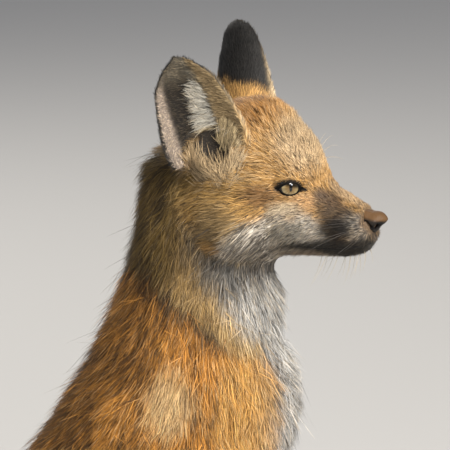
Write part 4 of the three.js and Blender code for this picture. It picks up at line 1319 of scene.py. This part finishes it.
def whisker_hairs(name, rows, thickness, tint, seed):
    finish = bpy.data.materials.new(name)
    finish.use_nodes = True
    shader = finish.node_tree.nodes["Principled BSDF"]
    shader.inputs["Base Color"].default_value = (*tint, 1)
    shader.inputs["Roughness"].default_value = .5
    sway = np.random.default_rng(seed)
    points, edges = [], []
    for hand in (1, -1):
        for at, way, long, droop in rows:
            at = np.array(at, float) + sway.normal(0, .4, 3)
            near = hide_tree.find_nearest(Vector((at * (1, hand, 1)) @ HEAD_FRAME + brow))
            root = np.array(near[0]) - np.array(near[1]) * SHEATH
            way = unit(np.array(way) * (1, hand, 1) + sway.normal(0, .06, 3)) @ HEAD_FRAME
            t = np.linspace(0, 1, WHISKER_STEPS + 1)[:, None]
            curl = np.array((0, 0, -droop)) - HEAD_FRAME[0] * (.3 if at[2] < 0 else 0)
            edges += [(len(points) + k, len(points) + k + 1) for k in range(WHISKER_STEPS)]
            points += list(root + way * long * t + curl * long * t * t)
    mesh = bpy.data.meshes.new(name)
    mesh.from_pydata((np.array(points) * MM).tolist(), edges, [])
    path = set_out(name + "_path", mesh)
    modifier = path.modifiers.new("hairs", "NODES")
    modifier.node_group = WHISKERS
    sockets = {i.name: i.identifier for i in WHISKERS.interface.items_tree if i.in_out == "INPUT"}
    modifier[sockets["Thickness"]] = thickness * MM
    modifier[sockets["Sides"]] = WHISKER_SIDES
    modifier[sockets["Hair"]] = finish
    made = bpy.data.meshes.new_from_object(path.evaluated_get(bpy.context.evaluated_depsgraph_get()))
    made.name = name
    bpy.data.objects.remove(path)
    piece = set_out(name, made)
    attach(piece, "root")


whisker_hairs("whiskers", DARK_HAIRS, WHISKER_THICK, (.03, .022, .016), 77)
whisker_hairs("chin_hairs", PALE_HAIRS, WHISKER_THICK, (.42, .34, .22), 79)

# ---------------------------------------------------------------- floor, light and camera
# A plain pale floor, soft studio light from large lamps with one small one for the glint in the
# eye, and a long-lens camera that looks a little down on the right side of head and chest.
VIEW_HEIGHT = math.radians(10)
VIEW_FORWARD, VIEW_UP = .1194, .2938  # m, the middle of the view
FRAME_WIDTH = .2547  # m that the view is wide
AWAY = 4.0  # m from the camera to the animal
SENSOR = 36  # mm

scene = bpy.context.scene
bpy.ops.mesh.primitive_plane_add(size=6)
floor = bpy.context.object
floor.name = "floor"
floor_paint = bpy.data.materials.new("floor")
floor_paint.use_nodes = True
shader = floor_paint.node_tree.nodes["Principled BSDF"]
shader.inputs["Base Color"].default_value = (.50, .485, .46, 1)
shader.inputs["Roughness"].default_value = .9
floor.data.materials.append(floor_paint)
world = bpy.data.worlds.new("studio")
world.use_nodes = True
world.node_tree.nodes["Background"].inputs["Color"].default_value = (.86, .9, 1, 1)
world.node_tree.nodes["Background"].inputs["Strength"].default_value = .36
scene.world = world
AIM = Vector((VIEW_FORWARD, 0, VIEW_UP))


def lamp(name, towards, size, power, tint):
    light = bpy.data.lights.new(name, "AREA")
    light.size = size
    light.energy = power
    light.color = tint
    holder = bpy.data.objects.new(name, light)
    scene.collection.objects.link(holder)
    holder.location = AIM + Vector(towards)
    holder.rotation_euler = (-Vector(towards)).to_track_quat("-Z", "Y").to_euler()


lamp("key", (.95, -1.65, 1.5), .7, 103, (1, .95, .88))
lamp("eye light", (1.17, -1.21, .67), .34, 15, (.9, .95, 1))
lamp("fill", (-1.4, -1.6, .7), 1.6, 8, (.9, .95, 1))
lamp("back", (-.6, 1.8, 1.2), 1.2, 22, (1, .97, .92))
camera_data = bpy.data.cameras.new("camera")
camera = bpy.data.objects.new("camera", camera_data)
scene.collection.objects.link(camera)
back_way = Vector((0, -math.cos(VIEW_HEIGHT), math.sin(VIEW_HEIGHT)))
upward = Vector((0, math.sin(VIEW_HEIGHT), math.cos(VIEW_HEIGHT)))
camera.location = Vector((VIEW_FORWARD, 0, 0)) + upward * VIEW_UP + back_way * AWAY
camera.rotation_euler = (-back_way).to_track_quat("-Z", "Y").to_euler()
camera_data.sensor_width = SENSOR
camera_data.lens = SENSOR * AWAY / FRAME_WIDTH
camera_data.clip_end = 20
scene.camera = camera
scene.view_settings.view_transform = "Standard"
